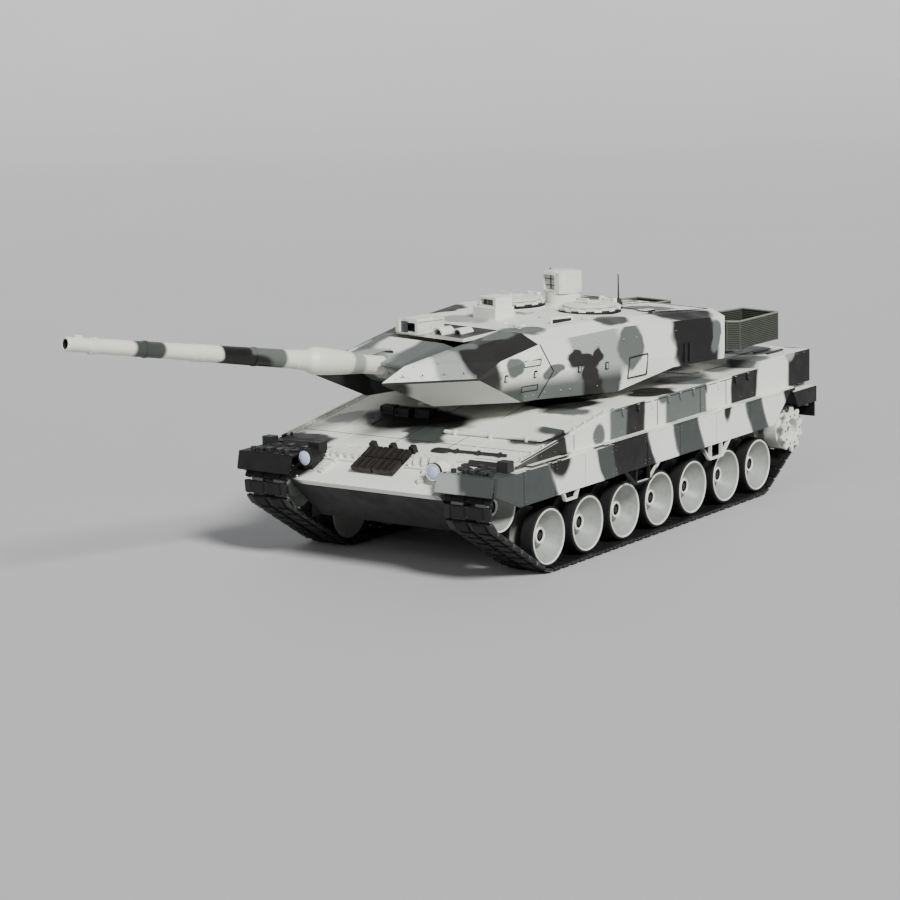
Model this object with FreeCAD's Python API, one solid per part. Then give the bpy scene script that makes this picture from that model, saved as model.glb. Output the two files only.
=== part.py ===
import FreeCAD, Part
import math
import os
from FreeCAD import Vector, Placement, Rotation

# A 1/16 scale radio-controlled battle tank: running gear with separate track links,
# a hollow hull with its drive units, and a turret that traverses, with a gun that elevates.
# Hull axes: +X to the nose, +Y to the tank's left, +Z up, Z = 0 on the ground and
# X = 0 on the turret's axis. At the end the whole model is moved along X, so that
# the origin is under the middle of its box. Millimetres throughout.

# ---------------------------------------------------------------- driving dimensions
HALF_WIDTH = 117.0          # over the side skirts
SPONSON_HALF = 110.0        # hull sides above the tracks
TUB_HALF = 68.0             # lower hull, outside
WALL = 2.2                  # moulded shell thickness

WHEEL_X = (154.5, 102.5, 51.0, 1.0, -50.0, -102.5, -154.5)
WHEEL_Z = 26.0
RIM_R = 20.6
TYRE_R = 22.3
HUB_WAIST_R = 8.0
AXLE_R = 2.5
RUNNING_GAP = 0.05

IDLER_X, IDLER_Z, IDLER_R = 214.0, 58.0, 17.5
SPROCKET_X, SPROCKET_Z = -201.0, 48.5
SPROCKET_DRUM_R = 16.8
TOOTH_TIP_R = 18.6
TOOTH_COUNT = 10
ROLLER_X = (140.0, 55.0, -40.0, -125.0)
ROLLER_R = 8.0

TRACK_Y = 91.0              # centre of each track
TRACK_WIDTH = 40.0
LINK_THICK = 2.6
PAD_THICK = 0.9
TRACK_GAP = 0.2             # between a wheel and the inside of the track

DECK_Z = 106.3
REAR_DECK_Z = 111.6
SPONSON_FLOOR_Z = 84.0
BELLY_Z = 33.0
SWITCH_X = 66.0             # the power switch's slot in the belly
REAR_X = -238.0
REAR_FACE_X = -244.0        # the towing hooks' rear faces

TURRET_YAW = -12.0          # rest pose, degrees; positive is to the tank's left
GUN_ELEVATION = 9.8         # rest pose
TRUNNION_X, TRUNNION_Z = 70.0, 125.7
RING_R = 60.0
MUZZLE_X = 449.5            # along the level gun
MUZZLE_R = 5.1

Y_AXIS = Vector(0, 1, 0)
Z_AXIS = Vector(0, 0, 1)


# ---------------------------------------------------------------- building blocks
def box(x0, x1, y0, y1, z0, z1):
    return Part.makeBox(x1 - x0, y1 - y0, z1 - z0, Vector(x0, y0, z0))


def cylinder(radius, start, direction, length):
    return Part.makeCylinder(radius, length, start, direction)


def across(radius, x, z, y0, y1):
    """A cylinder lying across the tank, from y0 to y1."""
    return cylinder(radius, Vector(x, y0, z), Y_AXIS, y1 - y0)


def upright(radius, x, y, z0, z1):
    return cylinder(radius, Vector(x, y, z0), Z_AXIS, z1 - z0)


def polygon_face(points):
    return Part.Face(Part.makePolygon(points + [points[0]]))


def side_prism(points, y0, y1):
    """An outline in X and Z, extruded across the tank."""
    face = polygon_face([Vector(x, y0, z) for x, z in points])
    return face.extrude(Vector(0, y1 - y0, 0))


def plan_prism(points, z0, z1):
    face = polygon_face([Vector(x, y, z0) for x, y in points])
    return face.extrude(Vector(0, 0, z1 - z0))


def turned(profile, x, z):
    """Revolve an outline of (radius, y) points about a line across the tank."""
    face = polygon_face([Vector(x + r, y, z) for r, y in profile])
    return face.revolve(Vector(x, 0, z), Y_AXIS, 360)


def turned_upright(profile, x, y):
    """Revolve an outline of (radius, z) points about a vertical line."""
    face = polygon_face([Vector(x + r, y, z) for r, z in profile])
    return face.revolve(Vector(x, y, 0), Z_AXIS, 360)


def turned_along(profile, y, z):
    """Revolve an outline of (x, radius) points about a line along the tank."""
    face = polygon_face([Vector(x, y, z + r) for x, r in profile])
    return face.revolve(Vector(0, y, z), Vector(1, 0, 0), 360)


def fuse(shapes):
    whole = shapes[0]
    if len(shapes) > 1:
        whole = whole.fuse(shapes[1:])
    return whole.removeSplitter()


def group(shapes):
    return Part.makeCompound(shapes)


def mirrored(shape):
    return shape.mirror(Vector(0, 0, 0), Y_AXIS)


def for_side(shape, side):
    """Shapes are drawn for the left; side is 1 for left and -1 for right."""
    if side > 0:
        return shape
    return mirrored(shape)


def both_sides(shape):
    return [shape, mirrored(shape)]


def trim(shape, point, normal):
    """Cut away what lies beyond a plane, on the side its normal points to."""
    reach = 700.0
    block = Part.makeBox(reach, reach, reach, Vector(-reach / 2, -reach / 2, 0))
    turn = Rotation(Z_AXIS, normal)
    block.Placement = Placement(point, turn)
    return shape.cut(block)


def plane_normal(a, b, c, outward):
    """The normal of the plane through three points, on the side of the outward hint."""
    normal = (b - a).cross(c - a)
    if normal.dot(outward) < 0:
        normal = normal.negative()
    return normal.normalize()


# ---------------------------------------------------------------- running gear
def dished_disc(radius, face_y, back_y, hub_r):
    """One wheel disc: a deep cone from the rim down to a flat floor round the hub tube."""
    floor_y = face_y - 9.0
    return [(radius, face_y), (radius - 0.9, face_y), (10.4, floor_y), (5.5, floor_y),
            (5.5, floor_y + 2.6), (4.5, floor_y + 2.6), (4.5, floor_y + 0.8),
            (hub_r, floor_y + 0.8), (hub_r, back_y), (radius, back_y)]


def hub_bolts(x, z, circle_r, y0, count):
    bolts = []
    for k in range(count):
        angle = 2 * math.pi * k / count
        bolts.append(across(0.75, x + circle_r * math.cos(angle), z + circle_r * math.sin(angle),
                            y0 - 0.2, y0 + 0.8))
    return bolts


def wheel_rim(x, z, radius):
    """Two discs joined by a narrower hub, which leaves room for the guide horns."""
    bore = AXLE_R + RUNNING_GAP
    outer = turned(dished_disc(radius, 107.0, 96.0, bore), x, z)
    waist = turned([(bore, 85.0), (bore, 97.0), (HUB_WAIST_R, 97.0), (HUB_WAIST_R, 85.0)], x, z)
    inner = turned([(bore, 79.0), (10.0, 79.0), (radius - 1.5, 75.0), (radius, 75.0),
                    (radius, 86.0), (bore, 86.0)], x, z)
    return fuse([outer, waist, inner] + hub_bolts(x, z, 8.0, 98.0, 8))


def tyre(x, z, y0, y1):
    return turned([(RIM_R, y0), (TYRE_R - 0.5, y0), (TYRE_R, y0 + 0.6), (TYRE_R, y1 - 0.6),
                   (TYRE_R - 0.5, y1), (RIM_R, y1)], x, z)


def road_wheel(x):
    return group([wheel_rim(x, WHEEL_Z, RIM_R), tyre(x, WHEEL_Z, 96.2, 106.5),
                  tyre(x, WHEEL_Z, 75.4, 85.7)])


def idler():
    return wheel_rim(IDLER_X, IDLER_Z, IDLER_R)


def return_roller(x, z):
    bore = 2.0 + RUNNING_GAP
    waist = 3.2
    return turned([(bore, 78.0), (ROLLER_R, 78.0), (ROLLER_R, 86.0), (waist, 86.0), (waist, 96.0),
                   (ROLLER_R, 96.0), (ROLLER_R, 104.0), (bore, 104.0)], x, z)


def toothed_ring(y0, y1):
    """A ring of chunky teeth with a bolt hole under each second tooth."""
    root_r = 14.9
    tip_half, root_half = 0.085, 0.17
    points = []
    for k in range(TOOTH_COUNT):
        middle = 2 * math.pi * (k + 0.5) / TOOTH_COUNT
        for turn, radius in ((-root_half, root_r), (-tip_half, TOOTH_TIP_R),
                             (tip_half, TOOTH_TIP_R), (root_half, root_r)):
            points.append((SPROCKET_X + radius * math.cos(middle + turn),
                           SPROCKET_Z + radius * math.sin(middle + turn)))
    ring = side_prism(points, y0, y1)
    for k in range(TOOTH_COUNT):
        angle = 2 * math.pi * k / TOOTH_COUNT
        ring = ring.cut(across(1.2, SPROCKET_X + 11.6 * math.cos(angle),
                               SPROCKET_Z + 11.6 * math.sin(angle), y0 - 1, y1 + 1))
    return ring


def sprocket():
    """Two toothed rings outboard of the track, a drum under it and the drive shaft."""
    x, z = SPROCKET_X, SPROCKET_Z
    drum = turned([(0, 70.4), (12.5, 70.4), (12.5, 75.0), (SPROCKET_DRUM_R, 75.0),
                   (SPROCKET_DRUM_R, 86.5), (HUB_WAIST_R, 86.5), (HUB_WAIST_R, 95.5),
                   (SPROCKET_DRUM_R, 95.5), (SPROCKET_DRUM_R, 107.0), (13.2, 107.0),
                   (13.2, 111.5), (9.6, 111.5), (8.6, 104.0), (5.5, 104.0), (5.5, 110.0),
                   (2.2, 110.0), (2.2, 107.0), (0, 107.0)], x, z)
    outer_ring = toothed_ring(111.4, 113.6).cut(across(9.2, x, z, 111.0, 114.0))
    inner_ring = toothed_ring(68.6, 70.6)
    shaft = across(3.0, x, z, 42.0, 72.0)
    bolts = hub_bolts(x, z, 7.0, 104.0, 6)
    return fuse([drum, outer_ring, inner_ring, shaft] + bolts)


def belt_circles():
    """The wheels that the track runs round, with the radius to the middle of a link."""
    middle = TRACK_GAP + LINK_THICK / 2
    return [(WHEEL_X[-1], WHEEL_Z, TYRE_R + middle), (WHEEL_X[0], WHEEL_Z, TYRE_R + middle),
            (IDLER_X, IDLER_Z, IDLER_R + middle),
            (SPROCKET_X, SPROCKET_Z, SPROCKET_DRUM_R + middle)]


def belt_pieces():
    """The track's line as straight runs and arcs, each with its length."""
    circles = belt_circles()
    count = len(circles)
    headings = []
    for k in range(count):
        ax, az, ar = circles[k]
        bx, bz, br = circles[(k + 1) % count]
        span = math.hypot(bx - ax, bz - az)
        headings.append(math.atan2(bz - az, bx - ax) + math.asin((ar - br) / span))
    pieces = []
    for k in range(count):
        ax, az, ar = circles[k]
        bx, bz, br = circles[(k + 1) % count]
        h = headings[k]
        start = (ax + ar * math.sin(h), az - ar * math.cos(h))
        end = (bx + br * math.sin(h), bz - br * math.cos(h))
        pieces.append(("run", start, h, math.hypot(end[0] - start[0], end[1] - start[1])))
        turn = (headings[(k + 1) % count] - h) % (2 * math.pi)
        pieces.append(("arc", (bx, bz, br), h, turn * br))
    return pieces


def belt_point(pieces, distance):
    """Where the track is, and its heading, at a distance along its line."""
    for kind, place, heading, length in pieces:
        if distance <= length:
            if kind == "run":
                return (place[0] + distance * math.cos(heading),
                        place[1] + distance * math.sin(heading), heading)
            now = heading + distance / place[2]
            return (place[0] + place[2] * math.sin(now), place[1] - place[2] * math.cos(now), now)
        distance -= length
    return belt_point(pieces, distance)


def track_link(pitch):
    """One link at the origin, heading along +X, ground side down: body, pads and horn."""
    half = LINK_THICK / 2
    length = pitch * 0.93
    reach = TRACK_WIDTH / 2
    body = box(-length / 2, length / 2, -reach + 5.6, reach - 5.6, -half, half)
    parts = [body]
    for side in (-1, 1):
        pad_y = side * 7.6
        parts.append(box(-length * 0.4, length * 0.4, pad_y - 5.4, pad_y + 5.4,
                         -half - PAD_THICK, -half + 0.1))
        end_y = side * (reach - 2.9)
        parts.append(box(-length * 0.34, length * 0.34, end_y - 2.9, end_y + 2.9,
                         -half - 0.3, half - 0.1))
    horn = side_prism([(-2.9, half - 0.1), (2.9, half - 0.1), (1.0, half + 4.8),
                       (-1.0, half + 4.8)], -1.7, 1.7)
    parts.append(horn)
    return fuse(parts)


def track():
    pieces = belt_pieces()
    total = sum(piece[3] for piece in pieces)
    count = int(round(total / 11.5))
    pitch = total / count
    start = -WHEEL_X[-1]
    links = []
    for k in range(count):
        x, z, heading = belt_point(pieces, (start + k * pitch) % total)
        link = track_link(pitch)
        link.Placement = Placement(Vector(x, TRACK_Y, z), Rotation(Y_AXIS, -math.degrees(heading)))
        if link.BoundBox.ZMin < 0:
            link = trim(link, Vector(0, 0, 0), Z_AXIS.negative())
        links.append(link)
    return group(links)


def roller_height(x):
    """A return roller's axis, under the track's top run."""
    run = belt_pieces()[4]
    heading = run[2] - math.pi
    across_run = (x - run[1][0]) * math.tan(heading)
    return run[1][1] + across_run - (LINK_THICK / 2 + TRACK_GAP + ROLLER_R) / math.cos(heading)


def stub_axle(x, z, radius, y0, y1):
    return across(radius, x, z, y0, y1)


def swing_arm(x):
    """A trailing arm: a boss on the hull side, a tapered arm and the wheel's axle."""
    pivot_x, pivot_z = x + 21.0, WHEEL_Z + 15.0
    boss = across(6.2, pivot_x, pivot_z, TUB_HALF, 73.8)
    foot = across(4.6, x, WHEEL_Z, 70.0, 74.0)
    length = math.hypot(pivot_x - x, pivot_z - WHEEL_Z)
    slope = math.atan2(pivot_z - WHEEL_Z, pivot_x - x)
    arm = box(0, length, 70.0, 73.8, -3.6, 3.6)
    arm.Placement = Placement(Vector(x, 0, WHEEL_Z), Rotation(Y_AXIS, -math.degrees(slope)))
    axle = stub_axle(x, WHEEL_Z, AXLE_R, 73.0, 98.4)
    return fuse([boss, foot, arm, axle])


def fixed_axle(x, z, radius, end_y):
    flange = across(radius + 2.5, x, z, TUB_HALF, TUB_HALF + 2.5)
    return fuse([flange, stub_axle(x, z, radius, TUB_HALF, end_y)])


def swing_arms():
    parts = [swing_arm(x) for x in WHEEL_X]
    parts.append(fixed_axle(IDLER_X, IDLER_Z, AXLE_R, 98.4))
    for x in ROLLER_X:
        parts.append(fixed_axle(x, roller_height(x), 2.0, 104.6))
    return group(parts)


# ---------------------------------------------------------------- hull
NOSE_TOP = (192.0, 87.0)
BOW = (236.0, 66.5)
GLACIS_TOP = (69.0, DECK_Z)
GLACIS_FOOT = (199.4, 85.4)
GLACIS_SLOPE = (DECK_Z - GLACIS_FOOT[1]) / (GLACIS_FOOT[0] - GLACIS_TOP[0])
FENDER_Z = 82.6


def lower_hull():
    outer = side_prism([(-212, BELLY_Z), (200, BELLY_Z), (235, 66.3), (186, 66.3), (186, 84.0),
                        (-234, 84.0), (-234, 58.0)], -TUB_HALF, TUB_HALF)
    inside = TUB_HALF - 2.5
    cavity = side_prism([(-210.6, BELLY_Z + 2.5), (198.8, BELLY_Z + 2.5), (231.2, 66.0),
                         (231.2, 90.0), (-231.5, 90.0), (-231.5, 59.0)], -inside, inside)
    tub = outer.cut(cavity)
    shaft_hole_r = 3.0 + RUNNING_GAP
    holes = [across(shaft_hole_r, SPROCKET_X, SPROCKET_Z, -80.0, 80.0)]
    holes.append(box(SWITCH_X - 6.0, SWITCH_X + 8.0, -3.0, 3.0, BELLY_Z - 1, BELLY_Z + 4))
    tub = tub.cut(holes)
    ribs = []
    for x in (-150.0, -80.0, 80.0, 150.0):
        ribs.append(box(x, x + 2.0, -inside - 0.2, inside + 0.2, BELLY_Z + 2.0, BELLY_Z + 8.0))
    return fuse([tub] + ribs)


def deck_outline(inset):
    """The upper hull's side outline, drawn in by the wall thickness where inset is set."""
    low = SPONSON_FLOOR_Z + inset
    glacis_low = GLACIS_FOOT[1] - inset
    if glacis_low > low:
        front = [(GLACIS_FOOT[0], low), (GLACIS_FOOT[0], glacis_low)]
    else:
        front = [(GLACIS_FOOT[0] - (low - glacis_low) / GLACIS_SLOPE, low)]
    return front + [(GLACIS_TOP[0], DECK_Z - inset), (-150.0 - inset, DECK_Z - inset),
                    (-153.6 - inset, REAR_DECK_Z - inset),
                    (REAR_X + inset, REAR_DECK_Z - 0.6 - inset), (REAR_X + inset, low)]


def upper_hull():
    sponsons = side_prism(deck_outline(0.0), -SPONSON_HALF, SPONSON_HALF)
    nose = side_prism([BOW, NOSE_TOP, (186, 87.8), (186, 66.5)], -TUB_HALF, TUB_HALF)
    fenders = []
    for side in (-1, 1):
        y0, y1 = sorted((side * 66.5, side * 114.5))
        fenders.append(box(186.05, 232.0, y0, y1, FENDER_Z - 1.6, FENDER_Z))
        ledge_0, ledge_1 = sorted((side * 108.5, side * 114.5))
        fenders.append(box(-204.0, 187.0, ledge_0, ledge_1, FENDER_Z - 1.6, FENDER_Z + 1.6))
    shell = fuse([sponsons, nose] + fenders)
    cavity = side_prism(deck_outline(WALL), -SPONSON_HALF + WALL, SPONSON_HALF - WALL)
    opening = box(-235.8, 180.0, -65.6, 65.6, 80.0, 86.3)
    nose_inside = side_prism([(231.5, 66.4), (191.2, 84.9), (184, 86.0), (184, 66.4)],
                             -TUB_HALF + 2.2, TUB_HALF - 2.2)
    ring_hole = upright(RING_R + RUNNING_GAP, 0, 0, 95.0, 110.0)
    deck_hole = box(-232.0, -98.0, -78.0, 78.0, 100.0, 115.0)
    driver_hole = plan_prism(driver_outline(-0.2), 90.0, 110.0)
    shell = shell.cut([cavity, opening, nose_inside, ring_hole, deck_hole, driver_hole])
    trims = []
    for side in (-1, 1):
        y0, y1 = sorted((side * 75.0, side * 80.0))
        trims.append(box(-151.0, -97.0, y0, y1, DECK_Z - 3.2, DECK_Z - 1.9))
        trims.append(box(-233.0, -154.5, y0, y1, REAR_DECK_Z - 4.0, REAR_DECK_Z - 2.5))
        y0, y1 = sorted((side * 107.6, side * 109.4))
        rail = side_prism([(192, 86.2), (192, 88.0), (69, 107.6), (69, 106.0)], y0, y1)
        trims.append(rail)
        for k in range(9):
            along = k / 8.0
            x = 185.0 - 110.0 * along
            z = 86.5 + (DECK_Z - 86.5) * along * 0.88
            trims.append(upright(1.1, x, side * 104.6, z - 1.0, z + 3.0))
    return fuse([shell] + trims)


def driver_outline(shrink):
    """The driver's hatch in plan, on the right half of the deck behind the glacis."""
    return [(116 - shrink, -62 + shrink), (116 - shrink, -26 - shrink), (88 + shrink, -22 - shrink),
            (88 + shrink, -66 + shrink)]


def glacis_height(x):
    return GLACIS_FOOT[1] + (GLACIS_FOOT[0] - x) * GLACIS_SLOPE


def between_glacis_levels(shape, low, high):
    """Keep the layer of a shape that lies between two heights over the glacis plate."""
    edge_x, edge_z = GLACIS_FOOT
    shape = trim(shape, Vector(edge_x, 0, edge_z + high), Vector(GLACIS_SLOPE, 0, 1))
    return trim(shape, Vector(edge_x, 0, edge_z + low), Vector(-GLACIS_SLOPE, 0, -1))


def driver_hatch():
    """The driver's lid in its frame, with three periscopes standing in front of it."""
    lid = plan_prism(driver_outline(0.4), 90.0, 110.0)
    lid = between_glacis_levels(lid, -3.6, 1.6)
    knob = upright(3.0, 100.0, -44.0, glacis_height(100) - 1.0, glacis_height(100) + 3.4)
    parts = [fuse([lid, knob])]
    for y, x in ((-60.0, 122.0), (-44.0, 124.5), (-26.0, 123.0)):
        floor = glacis_height(x) - 0.1
        head = side_prism([(x - 5, floor + 1.0), (x + 3, floor), (x + 2, floor + 6.0),
                           (x - 5, floor + 6.6)], y - 6.5, y + 6.5)
        window = box(x + 1.6, x + 4, y - 5.2, y + 5.2, floor + 1.6, floor + 5.0)
        parts.append(between_glacis_levels(head.cut(window), 0.05, 20.0))
    return group(parts)


def skirt_bottom_outline(x0, x1, top_z, bottom_z):
    return [(x0, bottom_z), (x1, bottom_z), (x1, top_z), (x0, top_z)]


SKIRT_SEAMS = (-125.0, -71.0, -15.0, 33.0, 80.4, 120.8, 160.8, 200.7)
SKIRT_BOTTOM = 58.0
SKIRT_TOP = 82.4
SKIRT_GAP = 0.35


def skirt_panel(outline, inner_y, outer_y):
    return side_prism(outline, inner_y, outer_y)


def step_bracket(x, half_top, half_bottom, drop, inner_y):
    """A folding step: a trapezoid strap under the skirt with two upright webs."""
    top, low = SKIRT_BOTTOM, SKIRT_BOTTOM - drop
    thick = 1.5
    strap = side_prism([(x - half_top, top), (x - half_bottom, low), (x + half_bottom, low),
                        (x + half_top, top), (x + half_top - 2.2, top),
                        (x + half_bottom - 1.0, low + thick), (x - half_bottom + 1.0, low + thick),
                        (x - half_top + 2.2, top)], inner_y, inner_y + 2.6)
    if drop < 8:
        return strap
    webs = [box(x + s * (half_bottom - 1.6) - 0.7, x + s * (half_bottom - 1.6) + 0.7,
                inner_y, inner_y + 2.6, low + 1.0, top) for s in (-1, 1)]
    return fuse([strap] + webs)


def side_skirt():
    """Thick armoured panels ahead, thin panels behind, each hung from the sponson ledge."""
    thick_y = (114.5, HALF_WIDTH)
    thin_y = (114.5, 116.2)
    panels = []
    for x0, x1 in zip(SKIRT_SEAMS[:-1], SKIRT_SEAMS[1:]):
        depth = thick_y if x0 > 80.0 else thin_y
        outline = skirt_bottom_outline(x0 + SKIRT_GAP, x1 - SKIRT_GAP, SKIRT_TOP, SKIRT_BOTTOM)
        panels.append(skirt_panel(outline, depth[0], depth[1]))
    nose = [(SKIRT_SEAMS[-1] + SKIRT_GAP, SKIRT_BOTTOM), (206.0, SKIRT_BOTTOM), (235.0, 70.0),
            (232.0, SKIRT_TOP), (SKIRT_SEAMS[-1] + SKIRT_GAP, SKIRT_TOP)]
    panels.append(skirt_panel(nose, thick_y[0], thick_y[1]))
    tail = [(-165.0, SKIRT_BOTTOM), (SKIRT_SEAMS[0] - SKIRT_GAP, SKIRT_BOTTOM),
            (SKIRT_SEAMS[0] - SKIRT_GAP, SKIRT_TOP), (-194.0, SKIRT_TOP)]
    panels.append(skirt_panel(tail, thin_y[0], thin_y[1]))
    for x in (88.0, 113.0, 128.0, 153.0, 168.0, 193.0, 205.0):
        for z in (78.5, 61.5):
            panels.append(across(0.9, x, z, 113.9, thick_y[0]))
    steps = [(138.3, 11.0, 7.2, 7.0), (39.0, 24.5, 11.0, 11.8), (-71.5, 22.5, 10.0, 11.8)]
    for x, half_top, half_bottom, drop in steps:
        panels.append(step_bracket(x, half_top, half_bottom, drop, 113.4))
    rail = box(-200.0, 93.0, 114.5, 116.6, 82.7, 84.0)
    panels.append(rail)
    return panels


def mudguards():
    """Front flaps under the fender edges, and the rear guards over the sprockets."""
    flap = side_prism([(232.05, 80.9), (232.9, 82.5), (238.0, 70.0), (236.5, 69.2)], 66.0, 114.3)
    rear_top = box(-239.4, -205.0, 72.0, 110.6, 78.6, 80.0)
    rear_side = side_prism([(-239.4, 66.7), (-208.0, 66.7), (-199.0, 80.2), (-239.4, 80.2)],
                           114.4, 115.8)
    rear_link = box(-239.4, -204.2, 110.6, 114.4, 78.6, 80.0)
    rear_flap = box(-240.0, -238.4, 73.0, 114.0, 54.0, 78.5)
    parts = []
    for shape in (flap, fuse([rear_top, rear_side, rear_link]), rear_flap):
        parts += both_sides(shape)
    return group(parts)


def engine_deck():
    """Two removable plates with louvres, two ringed fan grilles and their cover frames."""
    front = box(-149.8, -98.3, -77.7, 77.7, DECK_Z - 1.8, DECK_Z + 0.8)
    rear = box(-231.8, -154.2, -77.7, 77.7, REAR_DECK_Z - 2.4, REAR_DECK_Z + 0.5)
    for y in (-56.0, -18.5, 19.0):
        for k in range(8):
            x = -143.0 + k * 5.2
            front = front.cut(box(x, x + 2.4, y, y + 37.0, DECK_Z - 0.4, DECK_Z + 2))
    rings = []
    for side in (-1, 1):
        y = side * 40.0
        x = -193.0
        rear = rear.cut(upright(29.0, x, y, REAR_DECK_Z - 0.7, REAR_DECK_Z + 2))
        for radius in (27.0, 20.0, 13.0, 6.0):
            ring = upright(radius, x, y, REAR_DECK_Z - 1.2, REAR_DECK_Z + 0.2)
            rings.append(ring.cut(upright(radius - 1.6, x, y, REAR_DECK_Z - 2, REAR_DECK_Z + 1)))
        for turn in range(4):
            spoke = box(x - 27.5, x + 27.5, y - 0.8, y + 0.8, REAR_DECK_Z - 1.2, REAR_DECK_Z)
            spoke.rotate(Vector(x, y, 0), Z_AXIS, 45.0 * turn)
            rings.append(spoke)
    rise = box(-154.3, -149.5, -77.7, 77.7, DECK_Z - 1.8, DECK_Z + 0.8)
    rise = rise.fuse(side_prism([(-154.4, DECK_Z), (-150.0, DECK_Z), (-154.4, REAR_DECK_Z + 0.5)],
                                -77.7, 77.7))
    return fuse([front, rear, rise] + rings)


def rear_panel():
    """The stern: a plate with two round exhaust grilles, lamps, hooks and a tow pintle."""
    plate = box(-240.4, -238.05, -104.0, 104.0, 80.4, 106.0)
    lower = box(-240.4, -234.05, -66.0, 66.0, 60.0, 80.6)
    parts = []
    for side in (-1, 1):
        centre = Vector(-240.6, side * 62.0, 90.5)
        plate = plate.cut(cylinder(14.0, Vector(-241.0, side * 62.0, 90.5), Vector(1, 0, 0), 1.4))
        for radius in (13.0, 9.4, 5.8):
            ring = cylinder(radius, centre, Vector(1, 0, 0), 1.6)
            ring = ring.cut(cylinder(radius - 1.4, Vector(-241.6, centre.y, centre.z),
                                     Vector(1, 0, 0), 3.0))
            parts.append(ring)
        parts.append(box(-240.6, -239.0, centre.y - 13.8, centre.y + 13.8, 89.7, 91.3))
        lamp_y = side * 92.0
        parts.append(box(-242.6, -240.2, lamp_y - 6.0, lamp_y + 6.0, 86.0, 95.0))
        hook_y = side * 46.0
        hook = side_prism([(-240.2, 62.0), (REAR_FACE_X, 62.0), (REAR_FACE_X, 70.0),
                           (-240.2, 72.0)], hook_y - 3.0, hook_y + 3.0)
        parts.append(hook.cut(across(1.5, -242.0, 66.5, hook_y - 4.0, hook_y + 4.0)))
    pintle = cylinder(4.4, Vector(-243.4, 0, 66.0), Vector(1, 0, 0), 4.0)
    parts.append(pintle.cut(upright(1.6, -242.2, 0, 60.0, 72.0)))
    return fuse([plate, lower] + parts)


HEADLAMP_X, HEADLAMP_Y, HEADLAMP_Z = 228.0, 58.0, 81.2
HEADLAMP_R = 6.4


def headlamp_housings():
    """Round lamp bodies on the nose corners, each behind a low guard with its bracket."""
    parts = []
    for side in (-1, 1):
        y = side * HEADLAMP_Y
        body = turned_along([(205.0, 0), (205.0, 3.0), (214.0, HEADLAMP_R),
                             (HEADLAMP_X, HEADLAMP_R), (HEADLAMP_X, HEADLAMP_R - 1.0),
                             (HEADLAMP_X - 3.0, HEADLAMP_R - 1.0), (HEADLAMP_X - 3.0, 0)],
                            y, HEADLAMP_Z)
        foot = box(210.0, 224.0, y - 4.0, y + 4.0, 68.0, HEADLAMP_Z - 4.0)
        nose_normal = plane_normal(Vector(BOW[0], 0, BOW[1]), Vector(NOSE_TOP[0], 0, NOSE_TOP[1]),
                                   Vector(BOW[0], 10, BOW[1]), Vector(0, 0, -1))
        box_lamp = box(207.0, 217.0, side * 58.0 - 5.0, side * 58.0 + 5.0, 84.0, 91.0)
        whole = fuse([body, foot, box_lamp])
        parts.append(trim(whole, Vector(BOW[0], 0, BOW[1]), nose_normal))
    return group(parts)


def headlamp_lenses():
    parts = []
    for side in (-1, 1):
        dome = HEADLAMP_R - 1.05
        points = [(HEADLAMP_X - 2.9, 0), (HEADLAMP_X - 2.9, dome), (HEADLAMP_X - 0.6, dome),
                  (HEADLAMP_X + 0.5, dome * 0.7), (HEADLAMP_X + 1.0, dome * 0.35),
                  (HEADLAMP_X + 1.1, 0)]
        parts.append(turned_along(points, side * HEADLAMP_Y, HEADLAMP_Z))
    return group(parts)


NOSE_SLOPE = math.degrees(math.atan2(NOSE_TOP[1] - BOW[1], BOW[0] - NOSE_TOP[0]))


def glacis_corner():
    """The glacis plate's front edge, which stands proud of the nose plate's top."""
    front = GLACIS_FOOT[0] + 0.05
    top = GLACIS_FOOT[1] + 0.05
    return side_prism([(front - 20.0, 60.0), (front, 60.0), (front, top),
                       (front - 20.0, top + 20.0 * GLACIS_SLOPE)], -SPONSON_HALF, SPONSON_HALF)


def on_nose(shape):
    """Place a shape drawn with X running down the nose plate from its top edge and Z outward."""
    on_plate = Placement(Vector(NOSE_TOP[0], 0, NOSE_TOP[1]), Rotation(Y_AXIS, NOSE_SLOPE))
    shape.Placement = on_plate.multiply(shape.Placement)
    return shape.cut(glacis_corner())


def spare_track_links():
    """Four spare track pads in two rows, with ribs and clamp lugs above them."""
    parts = []
    for row in range(2):
        for side in (-1, 1):
            x = 6.0 + row * 14.0
            y = side * 9.6
            pad = box(x, x + 13.0, y - 9.0, y + 9.0, 1.6, 5.6)
            for k in (-1, 1):
                pad = pad.cut(box(x - 1, x + 14, y + k * 3.0 - 0.6, y + k * 3.0 + 0.6, 4.6, 6))
            base = box(x + 1.5, x + 11.5, y - 7.5, y + 7.5, 0.05, 2.0)
            parts.append(on_nose(fuse([pad, base])))
    for y in (-18.0, 0.0, 18.0):
        parts.append(on_nose(box(1.0, 5.6, y - 2.2, y + 2.2, 0.05, 6.6)))
    return group(parts)


def cleat():
    """One grouser: a bar with an arched back and two claws, lying along X."""
    arc_points = []
    for k in range(9):
        angle = math.pi * k / 8
        arc_points.append((6.5 - 6.5 * math.cos(angle), 1.2 + 2.6 * math.sin(angle)))
    profile = arc_points + [(13.0, 0.05), (10.6, 0.05), (9.4, 1.6), (3.6, 1.6), (2.4, 0.05),
                            (0.0, 0.05)]
    return side_prism(profile, -2.0, 2.0)


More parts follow.
